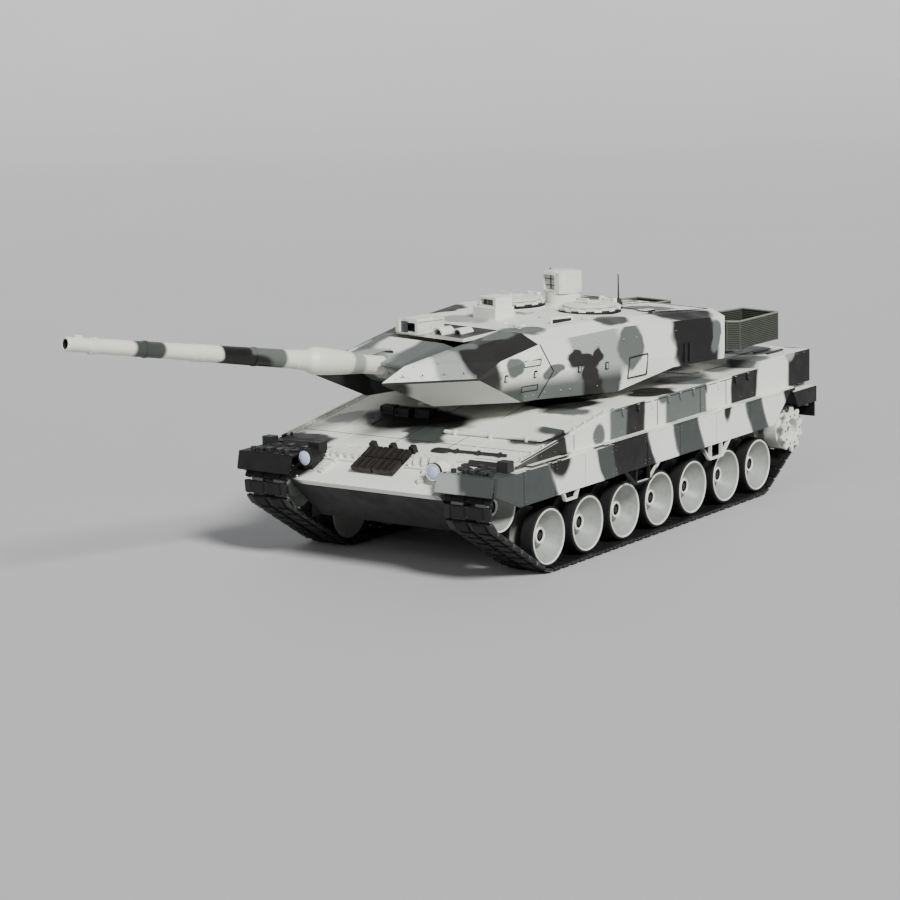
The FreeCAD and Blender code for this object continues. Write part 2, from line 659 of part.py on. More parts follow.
def ice_cleats():
    """Ice grousers in a rack each side of the spare links, and one long bar below."""
    parts = []
    for side in (-1, 1):
        for k in range(4):
            piece = cleat()
            piece.rotate(Vector(6.5, 0, 0), Z_AXIS, 24.0 * side)
            y = side * (26.0 + k * 7.2)
            piece.translate(Vector(4.6, y, 0.0))
            parts.append(on_nose(piece))
        bar = box(20.0, 38.0, -1.8, 1.8, 0.05, 2.4)
        for x in (21.5, 33.0):
            bar = bar.fuse(box(x, x + 3.2, -2.6, 2.6, 0.05, 3.4))
        bar.rotate(Vector(29, 0, 0), Z_AXIS, 14.0 * side)
        bar.translate(Vector(0, side * 43.0, 0))
        parts.append(on_nose(bar.removeSplitter()))
    return group(parts)


def ring_loop(x, y, z, radius, wire_r, turn):
    loop = Part.makeTorus(radius, wire_r, Vector(0, 0, 0), Z_AXIS)
    scale = FreeCAD.Matrix()
    scale.scale(1.0, 0.55, 1.0)
    loop = loop.transformGeometry(scale)
    loop.rotate(Vector(0, 0, 0), Z_AXIS, turn)
    loop.translate(Vector(x, y, z))
    return loop


def tow_gear():
    """Tow shackles and cable eyes on the fenders, a mirror box and the jack blocks."""
    parts = []
    for side in (-1, 1):
        for x, y, turn in ((218.0, 79.0, 80.0), (216.0, 93.0, 95.0)):
            parts.append(ring_loop(x, side * y, FENDER_Z + 1.4, 6.2, 1.1, side * turn))
        for y in (75.5, 100.0, 107.0):
            parts.append(upright(2.0, 227.0, side * y, FENDER_Z, FENDER_Z + 3.0))
        parts.append(box(204.0, 212.0, side * 106.5 - 4.5, side * 106.5 + 4.5, FENDER_Z, 90.5))
        plate = side_prism([(200.2, FENDER_Z), (203.2, FENDER_Z), (200.2, FENDER_Z + 4.4)],
                           70.0, 100.0)
        parts.append(for_side(plate, side))
    return parts


def deck_tools():
    """A long flat cover on the left of the deck and stowed tools on the rear left corner."""
    cover = plan_prism([(150, 34), (150, 98), (128, 104), (118, 40)], 85.0, 110.0)
    parts = [between_glacis_levels(cover, 0.05, 2.8)]
    for y in (84.0, 96.0):
        parts.append(box(-216.0, -190.0, y - 1.2, y + 1.2, REAR_DECK_Z + 0.05, REAR_DECK_Z + 1.3))
    return parts


def hull_fittings():
    return group(tow_gear() + deck_tools())


# ---------------------------------------------------------------- drive and electrics
def drive_unit():
    """A gear case against the hull side with its motor lying across the hull."""
    case = box(-209.0, -176.0, 42.0, 64.0, 37.0, 74.0)
    case = case.cut(across(3.0 + RUNNING_GAP, SPROCKET_X, SPROCKET_Z, 40.0, 66.0))
    motor = across(13.5, -160.5, 52.0, 8.0, 62.0)
    tail = across(4.0, -160.5, 52.0, 5.0, 8.0)
    plate = box(-178.0, -142.0, 60.0, 64.0, 41.2, 70.0)
    return fuse([case, plate, motor, tail])


def battery_pack():
    cells = []
    for row in range(2):
        for k in range(3):
            cells.append(cylinder(11.2, Vector(-48, -23.0 + 23.0 * k, 47.0 + 22.6 * row),
                                  Vector(1, 0, 0), 96.0))
    wrap = box(-48.0, 48.0, -23.0, 23.0, 36.4, 80.0)
    return fuse(cells + [wrap])


def circuit_board():
    board = box(98.0, 166.0, -40.0, 40.0, 42.0, 43.8)
    parts = [board]
    for x, y, length, width, height in ((104, -34, 16, 22, 6), (126, -30, 12, 12, 4),
                                        (146, -34, 14, 26, 9), (104, 8, 24, 24, 14),
                                        (136, 10, 18, 20, 5)):
        parts.append(box(x, x + length, y, y + width, 43.6, 43.8 + height))
    for x in (101.0, 163.0):
        for y in (-37.0, 37.0):
            parts.append(upright(2.4, x, y, BELLY_Z + 2.5, 42.1))
    return fuse(parts)


def power_switch():
    """A slide button in the belly's slot, with a wide flange above the plate."""
    knob = box(SWITCH_X - 3.6, SWITCH_X + 0.4, -2.7, 2.7, BELLY_Z - 0.4, BELLY_Z + 3.0)
    flange = box(SWITCH_X - 9.0, SWITCH_X + 6.0, -5.0, 5.0, BELLY_Z + 2.6, BELLY_Z + 4.2)
    return fuse([knob, flange])


# ---------------------------------------------------------------- turret, drawn facing +X
RIDGE_TIP = Vector(199.0, 38.0, 136.0)
RIDGE_END = Vector(139.5, 78.5, 136.0)
WEDGE_REAR_X = 80.2
TURRET_FLOOR_Z = 111.8
CREASE_Z = 133.5            # the side walls lean in below this height
UNDERCUT = 4.6
SLOT_HALF = 35.6            # the gun's slot between the wedges


def turret_section(x, half, undercut, floor_z, wall_z, roof_half, roof_z, inset):
    """Half-width at the crease and above it; the wall leans in below by the undercut."""
    half -= inset
    foot = half - undercut
    roof_half -= 0.6 * inset
    wall_z -= 0.6 * inset
    points = [(-foot, floor_z + inset), (-half, CREASE_Z), (-half, wall_z),
              (-roof_half, roof_z - inset), (roof_half, roof_z - inset), (half, wall_z),
              (half, CREASE_Z), (foot, floor_z + inset)]
    return Part.makePolygon([Vector(x, y, z) for y, z in points + [points[0]]])


def turret_body(inset):
    """The faceted turret as ruled faces between cross-sections, drawn in by an inset."""
    low = TURRET_FLOOR_Z
    wires = [turret_section(80.0 - inset, 80.0, UNDERCUT, 113.2, 155.5, 62.0, 162.3, inset),
             turret_section(10.0, 95.0, UNDERCUT, low, 161.6, 80.0, 167.0, inset),
             turret_section(-49.0, 95.0, 0.6, 123.9, 159.6, 80.0, 163.9, inset),
             turret_section(-108.0 + 0.5 * inset, 95.0, 0.6, 124.0, 157.4, 80.0, 160.6, inset),
             turret_section(-121.0 + inset, 79.5, 0.6, 124.0, 156.6, 70.0, 160.0, inset)]
    return Part.makeLoft(wires, True, True)


def turret_shell():
    """Hollow turret: side walls, roof with hatch holes, the gun's slot and trunnion cheeks."""
    body = turret_body(0.0)
    brow = side_prism([(76, 159.0), (76, 162.4), (80, 162.3), (118, 160.0), (118, 157.4)],
                      -37.6, 37.6)
    shell = body.fuse(brow).cut(turret_body(2.4))
    slot = box(62.0, 121.0, -SLOT_HALF, SLOT_HALF, 100.0, 157.2)
    floor_hole = upright(54.0, 0, 0, 100.0, 130.0)
    holes = [slot, floor_hole]
    for x, y, radius in (COMMANDER, LOADER):
        holes.append(upright(radius - 6.0, x, y, 150.0, 175.0))
    shell = shell.cut(holes)
    cheeks = []
    for shape in both_sides(box(62.0, 79.0, 36.0, 39.5, 113.0, 158.0)):
        cheeks.append(shape)
    shell = fuse([shell] + cheeks)
    pin_hole = across(3.0 + RUNNING_GAP, TRUNNION_X, TRUNNION_Z, -45.0, 45.0)
    return shell.cut(pin_hole)


COMMANDER = (3.0, -29.0, 25.5)
LOADER = (-18.0, 36.0, 24.0)
PANORAMA = (-38.0, -14.0)
SPINDLE_R = 4.0
RING_LOW_Z, RING_TOP_Z = 98.0, 126.0


def turret_ring():
    """The traverse ring: a neck through the hull roof, a gear below it and a pedestal above."""
    pedestal = upright(64.0, 0, 0, DECK_Z + 0.35, RING_TOP_Z)
    pedestal = pedestal.cut(turret_body(0.0))
    keep = upright(70.0, 0, 0, DECK_Z, 123.5)
    pedestal = pedestal.common(keep)
    neck = upright(RING_R, 0, 0, 99.0, DECK_Z + 1.0)
    teeth = []
    tooth_count = 72
    for k in range(tooth_count):
        tooth = box(RING_R - 0.5, RING_R + 2.2, -1.1, 1.1, RING_LOW_Z, 101.5)
        tooth.rotate(Vector(0, 0, 0), Z_AXIS, 360.0 * k / tooth_count)
        teeth.append(tooth)
    gear = upright(RING_R, 0, 0, RING_LOW_Z, 101.5)
    ring = pedestal.fuse([neck, gear] + teeth)
    ring = ring.cut(upright(54.0, 0, 0, 90.0, 140.0))
    solids = sorted(ring.Solids, key=lambda solid: solid.Volume)
    return solids[-1].removeSplitter()


def wedge():
    """The left arrow-shaped armour block, cut by planes from a plain block."""
    block = box(WEDGE_REAR_X, 205.0, RIDGE_TIP.y, 84.0, 100.0, 175.0)
    lip = Vector(0, 0, 0.8)
    upper_top = Vector(161.0, 38.0, 152.6)
    lower_end = Vector(150.0, 38.0, 114.2)
    upper = plane_normal(RIDGE_TIP + lip, RIDGE_END + lip, upper_top + lip, Vector(0, 0, 1))
    lower = plane_normal(RIDGE_TIP - lip, RIDGE_END - lip, lower_end - lip, Vector(0, 0, -1))
    front = plane_normal(RIDGE_TIP + lip, RIDGE_END + lip, RIDGE_TIP - lip, Vector(1, 0, 0))
    side = plane_normal(Vector(139.5, 78.5, 136), Vector(114, 78, 147.6), Vector(80, 80, 155.5),
                        Vector(0, 1, 0))
    block = trim(block, RIDGE_TIP + lip, upper)
    block = trim(block, RIDGE_TIP - lip, lower)
    block = trim(block, RIDGE_TIP, front)
    block = trim(block, RIDGE_END, side)
    crease = Vector(WEDGE_REAR_X, 80.0, CREASE_Z)
    foot = Vector(WEDGE_REAR_X, 80.0 - UNDERCUT, 113.2)
    block = trim(block, RIDGE_END, plane_normal(RIDGE_END, crease, foot, Vector(0, 1, 0)))
    roof_a, roof_b = Vector(80, 62, 162.3), Vector(110, 66, 157.4)
    roof = plane_normal(roof_a, roof_b, Vector(80, 38, 162.3), Vector(0, 0, 1))
    block = trim(block, roof_a, roof)
    shoulder = plane_normal(roof_a, Vector(80, 80, 155.5), Vector(114, 78, 147.6),
                            Vector(0, 0, 1))
    block = trim(block, roof_a, shoulder)
    block = trim(block, Vector(0, 0, 113.2), Vector(0, 0, -1))
    bolts = []
    along = RIDGE_END - RIDGE_TIP
    inward = (upper_top - RIDGE_TIP) * 0.12
    for k in range(7):
        place = RIDGE_TIP + along * ((k + 0.7) / 7.4) + inward + lip
        bolts.append(cylinder(1.0, place - upper * 0.6, upper, 1.1))
    return fuse([block] + bolts)


def wedge_armour():
    return group(both_sides(wedge()))


def mantlet():
    """The gun's wedge-shaped cover with its trunnions, as it stands with the gun level."""
    half = 34.0
    cover = side_prism([(179, 126.2), (179, 128.0), (139.6, 146.6), (127, 144.0), (96, 137.0),
                        (62, 134.0), (62, 117.5), (96, 114.0), (146, 112.6)], -half, half)
    cover = cover.cut(cylinder(7.0 + RUNNING_GAP, Vector(50, 0, TRUNNION_Z), Vector(1, 0, 0), 150))
    recess = cylinder(11.5, Vector(150, 0, TRUNNION_Z), Vector(1, 0, 0), 40)
    cover = cover.cut(recess)
    collar = cylinder(9.6, Vector(120, 0, TRUNNION_Z), Vector(1, 0, 0), 48)
    collar = collar.cut(cylinder(7.0 + RUNNING_GAP, Vector(110, 0, TRUNNION_Z),
                                 Vector(1, 0, 0), 70))
    for side in (-1, 1):
        y0, y1 = sorted((side * 33.0, side * 39.3))
        cover = cover.fuse(across(3.0, TRUNNION_X, TRUNNION_Z, y0, y1))
    port = cylinder(1.4, Vector(158, 15.0, TRUNNION_Z - 0.5), Vector(1, 0, 0), 30)
    return fuse([cover, collar]).cut(port)


def gun_barrel():
    """A thin sleeved barrel with a fume extractor bulb, thermal sleeve rings and open bore."""
    outline = [(84, 0), (84, 7.0), (186, 7.0), (188, 7.3), (205, 8.7), (220, 9.8), (230, 10.2),
               (235, 9.9), (240.5, 7.4), (246, 7.4), (246, 6.9), (334, 6.1), (334, 6.45),
               (337, 6.45), (337, 6.05), (341, 6.05), (341, 6.4), (344, 6.4), (344, 5.9),
               (425, 5.3), (425, 6.0), (430, 6.0), (430, MUZZLE_R), (448.5, MUZZLE_R),
               (MUZZLE_X, MUZZLE_R - 0.6), (MUZZLE_X, 3.6), (MUZZLE_X - 40, 3.6),
               (MUZZLE_X - 40, 0)]
    return turned_along(outline, 0, TRUNNION_Z)


def gunner_sight():
    """The main sight: an armoured box with a shuttered front window, and two vent hoods."""
    body = box(99.0, 126.0, -25.0, -4.0, 161.2, 170.6)
    body = body.fuse(side_prism([(99, 158.6), (118, 160.05), (126, 160.05), (126, 162), (99, 162)],
                                -25.0, -4.0))
    body = trim(body, Vector(80, 0, 162.35), plane_normal(Vector(80, 0, 162.35),
                Vector(118, 0, 160.05), Vector(80, 10, 162.35), Vector(0, 0, -1)))
    body = body.cut(box(121.5, 127.0, -22.0, -7.0, 161.6, 168.6))
    door = box(126.0, 128.6, -26.2, -22.6, 161.0, 169.6)
    top = box(108.0, 125.0, -23.0, -6.0, 170.6, 171.6)
    parts = [fuse([body, door, top])]
    for x, y, radius in ((104.0, 8.0, 5.6), (94.0, 19.0, 4.8)):
        hood = cylinder(radius, Vector(x, y, 160.2), Vector(1, 0, 0), 13.0)
        hood = hood.cut(cylinder(radius - 1.3, Vector(x + 9.0, y, 160.2), Vector(1, 0, 0), 6.0))
        hood = trim(hood, Vector(80, 0, 162.35), plane_normal(Vector(80, 0, 162.35),
                    Vector(118, 0, 160.05), Vector(80, 10, 162.35), Vector(0, 0, -1)))
        parts.append(hood)
    return group(parts)


def roof_plane_trim(shape):
    """Cut away what lies under the sloping roof, on each side of its crest."""
    front = plane_normal(Vector(10, 0, 167.05), Vector(80, 0, 162.35), Vector(10, 10, 167.05),
                         Vector(0, 0, -1))
    rear = plane_normal(Vector(10, 0, 167.05), Vector(-49, 0, 163.95), Vector(10, 10, 167.05),
                        Vector(0, 0, -1))
    ahead = trim(shape.common(box(10, 130, -100, 100, 150, 200)), Vector(10, 0, 167.05), front)
    behind = trim(shape.common(box(-48.9, 10, -100, 100, 150, 200)), Vector(10, 0, 167.05), rear)
    last = plane_normal(Vector(-49, 0, 163.95), Vector(-121, 0, 160.05), Vector(-49, 10, 163.95),
                        Vector(0, 0, -1))
    stern = trim(shape.common(box(-121, -48.9, -100, 100, 150, 200)), Vector(-49, 0, 163.95), last)
    pieces = [piece for piece in (ahead, behind, stern) if piece.Volume > 0.01]
    return fuse(pieces)


def panoramic_base():
    x, y = PANORAMA
    base = upright(14.0, x, y, 158.0, 174.6)
    step = upright(16.0, x, y, 158.0, 167.0)
    bore = upright(SPINDLE_R + RUNNING_GAP, x, y, 169.0, 176.0)
    return roof_plane_trim(base.fuse(step).removeSplitter().cut(bore))


def panoramic_sight():
    """The turning head of the tall sight: a rounded box with a deep window."""
    x, y = PANORAMA
    head = upright(15.2, x, y, 175.4, 192.0)
    head = head.common(box(x - 13.0, x + 12.6, y - 12.4, y + 12.4, 170.0, 195.0))
    head = head.cut(box(x + 9.0, x + 14.0, y - 8.6, y + 3.4, 178.2, 190.0))
    top = turned_upright([(0, 191.9), (12.0, 191.9), (10.0, 193.0), (0, 193.4)], x, y)
    collar = upright(13.2, x, y, 174.8, 176.0)
    spindle = upright(SPINDLE_R, x, y, 170.0, 175.4)
    pane = box(x + 8.0, x + 9.6, y - 8.6, y + 3.4, 178.2, 190.0)
    return fuse([head, top, collar, spindle, pane])


def hatch_ring(x, y, radius, base_z, count, block_r):
    """A ring of vision blocks on the roof round a hatch opening."""
    ring = upright(radius, x, y, 156.0, base_z + 4.6)
    ring = ring.cut(upright(radius - 6.0, x, y, 150.0, 180.0))
    for k in range(count):
        angle = 2 * math.pi * (k + 0.5) / count
        notch = box(radius - 1.6, radius + 2.0, -block_r, block_r, base_z + 1.0, base_z + 3.6)
        notch.rotate(Vector(0, 0, 0), Z_AXIS, math.degrees(angle))
        notch.translate(Vector(x, y, 0))
        ring = ring.cut(notch)
    return roof_plane_trim(ring)


HATCH_PIN_R = 1.0
HATCH_PIN_RISE = 2.0
COMMANDER_LID_Z = 172.4
LOADER_LID_Z = 170.2


def hatch_lid(x, y, radius, z, hinge_x):
    """A domed lid with a rim, a hinge arm and the half of the hinge that turns with it."""
    lid = turned_upright([(0, z), (radius - 1.0, z), (radius, z + 0.7), (radius, z + 1.6),
                          (radius - 4.0, z + 2.4), (0, z + 3.0)], x, y)
    knuckle_z = z + HATCH_PIN_RISE
    for side in (-1, 1):
        y0, y1 = sorted((y + side * 3.0, y + side * 6.8))
        lid = lid.cut(box(hinge_x - 9.0, hinge_x + 3.1, y0, y1, z - 1.0, z + 5.0))
    lid = lid.cut(box(hinge_x - 9.0, hinge_x, y - 3.5, y + 3.5, z - 1.0, z + 5.0))
    arm = box(hinge_x, x - radius * 0.55, y - 3.0, y + 3.0, z, z + 2.2)
    knuckle = across(2.0, hinge_x, knuckle_z, y - 3.0, y + 3.0)
    lid = fuse([lid, arm, knuckle])
    return lid.cut(across(HATCH_PIN_R + RUNNING_GAP, hinge_x, knuckle_z, y - 10, y + 10))


def hatch_hinge(y, z, hinge_x):
    """The fixed ears and pin of a hatch hinge."""
    parts = [across(HATCH_PIN_R, hinge_x, z + HATCH_PIN_RISE, y - 6.4, y + 6.4)]
    for side in (-1, 1):
        y0, y1 = sorted((y + side * 3.3, y + side * 6.4))
        parts.append(box(hinge_x - 2.0, hinge_x + 2.0, y0, y1, 158.0, z + HATCH_PIN_RISE + 2.0))
    return roof_plane_trim(fuse(parts))


COMMANDER_HINGE_X = COMMANDER[0] - COMMANDER[2] + 2.6
LOADER_HINGE_X = LOADER[0] - LOADER[2] + 2.6


def commander_hatch():
    x, y, radius = COMMANDER
    return hatch_lid(x, y, radius - 3.0, COMMANDER_LID_Z, COMMANDER_HINGE_X)


def loader_hatch():
    x, y, radius = LOADER
    return hatch_lid(x, y, radius - 3.0, LOADER_LID_Z, LOADER_HINGE_X)


BASKET_LOW_Z, BASKET_TOP_Z = 127.8, 151.0
BASKET_INNER_Y = 40.0


def basket_outline(inset):
    return [(-124.0 - inset, BASKET_INNER_Y + inset), (-124.0 - inset, 83.0 - 0.4 * inset),
            (-130.2 - 0.6 * inset, 91.2 - 1.2 * inset), (-191.0 + inset, 78.2 - inset),
            (-191.0 + inset, BASKET_INNER_Y + inset)]


def stowage_basket():
    """An open-topped basket hung behind the turret on two brackets."""
    basket = plan_prism(basket_outline(0.0), BASKET_LOW_Z, BASKET_TOP_Z)
    basket = basket.cut(plan_prism(basket_outline(1.3), BASKET_LOW_Z + 1.3, BASKET_TOP_Z + 1))
    rim = plan_prism(basket_outline(-0.5), BASKET_TOP_Z - 1.6, BASKET_TOP_Z)
    rim = rim.cut(plan_prism(basket_outline(1.3), BASKET_LOW_Z, BASKET_TOP_Z + 1))
    brackets = [box(-124.2, -121.1, y - 2.0, y + 2.0, 132.0, 149.0) for y in (48.0, 72.0)]
    return fuse([basket, rim] + brackets)


def stowage_baskets():
    return group(both_sides(stowage_basket()))


def grab_rail(x0, y0, x1, y1, base_z, rise):
    """A bent grab handle between two feet."""
    wire = 0.9
    top = base_z + rise
    span = Vector(x1 - x0, y1 - y0, 0)
    length = span.Length
    posts = [upright(wire, x, y, base_z, top) for x, y in ((x0, y0), (x1, y1))]
    bar = cylinder(wire, Vector(x0, y0, top), span.normalize(), length)
    ends = [Part.makeSphere(wire, Vector(x, y, top)) for x, y in ((x0, y0), (x1, y1))]
    return fuse(posts + [bar] + ends)


def turret_fittings():
    """The fixed roof fittings: sight box, hatch rings and hinges, handles and aerials."""
    parts = [panoramic_base()]
    for (x, y, radius), base_z, lid_z, hinge_x in (
            (COMMANDER, 167.4, COMMANDER_LID_Z, COMMANDER_HINGE_X),
            (LOADER, 165.2, LOADER_LID_Z, LOADER_HINGE_X)):
        ring = hatch_ring(x, y, radius, base_z, 12, 3.4)
        parts.append(fuse([ring, hatch_hinge(y, lid_z, hinge_x)]))
    lower = box(34.0, 54.0, -20.0, 5.0, 160.0, 173.0)
    upper = box(35.0, 52.4, -16.0, 4.0, 172.5, 181.0).cut(box(48.0, 54, -13.0, 1.0, 174.6, 179.4))
    parts.append(roof_plane_trim(fuse([lower, upper])))
    handle = grab_rail(45.0, 57.0, 27.0, 61.0, 158.0, 10.6)
    parts.append(roof_plane_trim(handle))
    for y in (-46.0, 30.0):
        mast = turned_upright([(0, 155.0), (3.2, 155.0), (3.2, 168.0), (1.6, 171.5), (0.5, 172.0),
                               (0.35, 191.0), (0, 191.0)], -56.0, y)
        parts.append(roof_plane_trim(mast))
    ball = Part.makeSphere(2.6, Vector(-64.0, 4.0, 168.6))
    sensor = upright(0.9, -64.0, 4.0, 155.0, 168.0).fuse(ball)
    parts.append(roof_plane_trim(sensor))
    return group(parts)


def turret_drive():
    """The traverse motor with its gear case, and the servo that raises the gun."""
    motor = upright(11.0, -28.0, 0.0, 127.5, 154.0)
    case = box(-44.0, 6.0, -16.0, 16.0, 127.0, 135.0)
    servo = box(20.0, 52.0, -10.0, 10.0, 130.0, 148.0)
    tray = box(-72.0, 52.0, -8.0, 8.0, 126.4, 128.4)
    horn = across(3.0, 46.0, 139.0, -14.0, -9.5)
    stand = box(19.0, 53.0, -9.0, 9.0, 126.4, 131.0)
    return fuse([motor, case, servo, tray, horn, stand])


# ---------------------------------------------------------------- assembly
def direction(yaw, elevation):
    return Vector(math.cos(math.radians(yaw)) * math.cos(math.radians(elevation)),
                  math.sin(math.radians(yaw)) * math.cos(math.radians(elevation)),
                  math.sin(math.radians(elevation)))


def elevate(shape):
    shape.rotate(Vector(TRUNNION_X, 0, TRUNNION_Z), Y_AXIS, -GUN_ELEVATION)
    return shape


def traverse(shape):
    shape.rotate(Vector(0, 0, 0), Z_AXIS, TURRET_YAW)
    return shape


def muzzle_reach():
    """How far forward the raised and traversed muzzle stands."""
    along = direction(TURRET_YAW, GUN_ELEVATION)
    pivot_x = TRUNNION_X * math.cos(math.radians(TURRET_YAW))
    rings = ((MUZZLE_X, MUZZLE_R - 0.6), (MUZZLE_X - 1.0, MUZZLE_R))
    return max(pivot_x + (x - TRUNNION_X) * along.x + r * math.sqrt(1 - along.x ** 2)
               for x, r in rings)


CENTRE_X = (REAR_FACE_X + muzzle_reach()) / 2


def build():
    nodes = {
        "lower_hull": lower_hull(),
        "upper_hull": upper_hull(),
        "driver_hatch": driver_hatch(),
        "mudguards": mudguards(),
        "engine_deck": engine_deck(),
        "rear_panel": rear_panel(),
        "headlamp_housings": headlamp_housings(),
        "headlamp_lenses": headlamp_lenses(),
        "spare_track_links": spare_track_links(),
        "ice_cleats": ice_cleats(),
        "hull_fittings": hull_fittings(),
        "battery_pack": battery_pack(),
        "circuit_board": circuit_board(),
        "power_switch": power_switch(),
    }
    left_track = track()
    for side, name in ((1, "left"), (-1, "right")):
        nodes["side_skirt_" + name] = group([for_side(p, side) for p in side_skirt()])
        nodes["drive_unit_" + name] = for_side(drive_unit(), side)
        nodes["track_" + name] = for_side(left_track.copy(), side)
        nodes["swing_arms_" + name] = for_side(swing_arms(), side)
        nodes["idler_" + name] = for_side(idler(), side)
        nodes["sprocket_" + name] = for_side(sprocket(), side)
        for k, x in enumerate(WHEEL_X, 1):
            nodes["road_wheel_%s_%d" % (name, k)] = for_side(road_wheel(x), side)
        for k, x in enumerate(ROLLER_X, 1):
            roller = return_roller(x, roller_height(x))
            nodes["return_roller_%s_%d" % (name, k)] = for_side(roller, side)
    turret = {
        "turret_shell": turret_shell(),
        "turret_ring": turret_ring(),
        "wedge_armour": wedge_armour(),
        "mantlet": elevate(mantlet()),
        "gun_barrel": elevate(gun_barrel()),
        "gunner_sight": gunner_sight(),
        "panoramic_sight": panoramic_sight(),
        "commander_hatch": commander_hatch(),
        "loader_hatch": loader_hatch(),
        "stowage_baskets": stowage_baskets(),
        "turret_fittings": turret_fittings(),
        "turret_drive": turret_drive(),
    }
    for name, shape in turret.items():
        nodes[name] = traverse(shape)
    return nodes


os.makedirs("parts", exist_ok=True)
for node, solid in build().items():
    solid.translate(Vector(-CENTRE_X, 0, 0))
    solid.exportStep("parts/" + node + ".step")
    print(node, len(solid.Solids), solid.isValid(), round(solid.Volume / 1000, 2))
print("hull centre to origin, X:", round(-CENTRE_X, 4))
print("return roller heights:", [round(roller_height(x), 3) for x in ROLLER_X])
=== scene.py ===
import math

import bmesh
import bpy
from mathutils import Matrix, Vector


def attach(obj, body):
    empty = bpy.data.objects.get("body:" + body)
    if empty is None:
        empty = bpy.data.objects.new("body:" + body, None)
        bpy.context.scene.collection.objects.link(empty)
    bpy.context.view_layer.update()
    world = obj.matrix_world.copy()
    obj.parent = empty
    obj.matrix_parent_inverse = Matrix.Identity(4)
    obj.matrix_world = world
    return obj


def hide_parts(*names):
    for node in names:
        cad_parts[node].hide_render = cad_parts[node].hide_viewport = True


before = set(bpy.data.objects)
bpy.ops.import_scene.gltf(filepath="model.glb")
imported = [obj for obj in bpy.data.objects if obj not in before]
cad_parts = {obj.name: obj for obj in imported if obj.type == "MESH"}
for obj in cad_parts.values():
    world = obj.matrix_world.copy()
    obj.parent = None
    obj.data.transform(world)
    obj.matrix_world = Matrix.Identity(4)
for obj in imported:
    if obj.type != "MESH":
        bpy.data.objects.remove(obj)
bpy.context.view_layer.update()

# A 1/16 scale radio-controlled battle tank in three-tone winter camouflage. The helpers below
# take millimetres in the design's own axes: hull (origin on the turret's axis, at the ground),
# turret (the same origin, turned with the turret) and gun (the same, with the gun level).
MM = 0.001
HULL_SHIFT = -0.0957296
TURRET_YAW = math.radians(-12.0)
GUN_RISE = math.radians(9.8)
TRUNNION = Vector((70.0, 0.0, 125.7))
CAMERA_HEADING = math.radians(-144.14)

HULL = Matrix.Translation((HULL_SHIFT, 0, 0)) @ Matrix.Scale(MM, 4)
TURRET = HULL @ Matrix.Rotation(TURRET_YAW, 4, "Z")
GUN = (TURRET @ Matrix.Translation(TRUNNION) @ Matrix.Rotation(-GUN_RISE, 4, "Y")
       @ Matrix.Translation(-TRUNNION))
UP = Vector((0, 0, 1))
BOTH_SIDES = (-1, 1)

WHITE = (0.80, 0.81, 0.74)
PALE_GREY = (0.34, 0.36, 0.34)
GREY = (0.115, 0.128, 0.120)
DARK_GREY = (0.050, 0.057, 0.053)
BLACK = (0.0060, 0.0052, 0.0048)
SMOKE = (0.013, 0.012, 0.011)
OLIVE = (0.060, 0.068, 0.050)

WHEEL_X = (154.5, 102.5, 51.0, 1.0, -50.0, -102.5, -154.5)
WHEEL_Z = 26.0
IDLER = (214.0, 58.0, 17.5)
SPROCKET = (-201.0, 48.5, 16.8)
TYRE_R = 22.3
RIM_R = 20.6
TRACK_Y = 91.0
SIDES = {"left": 1, "right": -1}
AERIAL_X = -56.0
AERIAL_Y = (-46.0, 30.0)


def along_x():
    """A quarter turn that lays a lathe's axis along X."""
    return Matrix.Rotation(math.pi / 2, 4, "Y")


# ---------------------------------------------------------------- node material helpers
# a Mix node's two colour inputs and its colour output
MIX_COLOURS = (6, 7)
MIX_RESULT = 2
# a patch this deep, in mm, goes right through the tank
THROUGH = 900


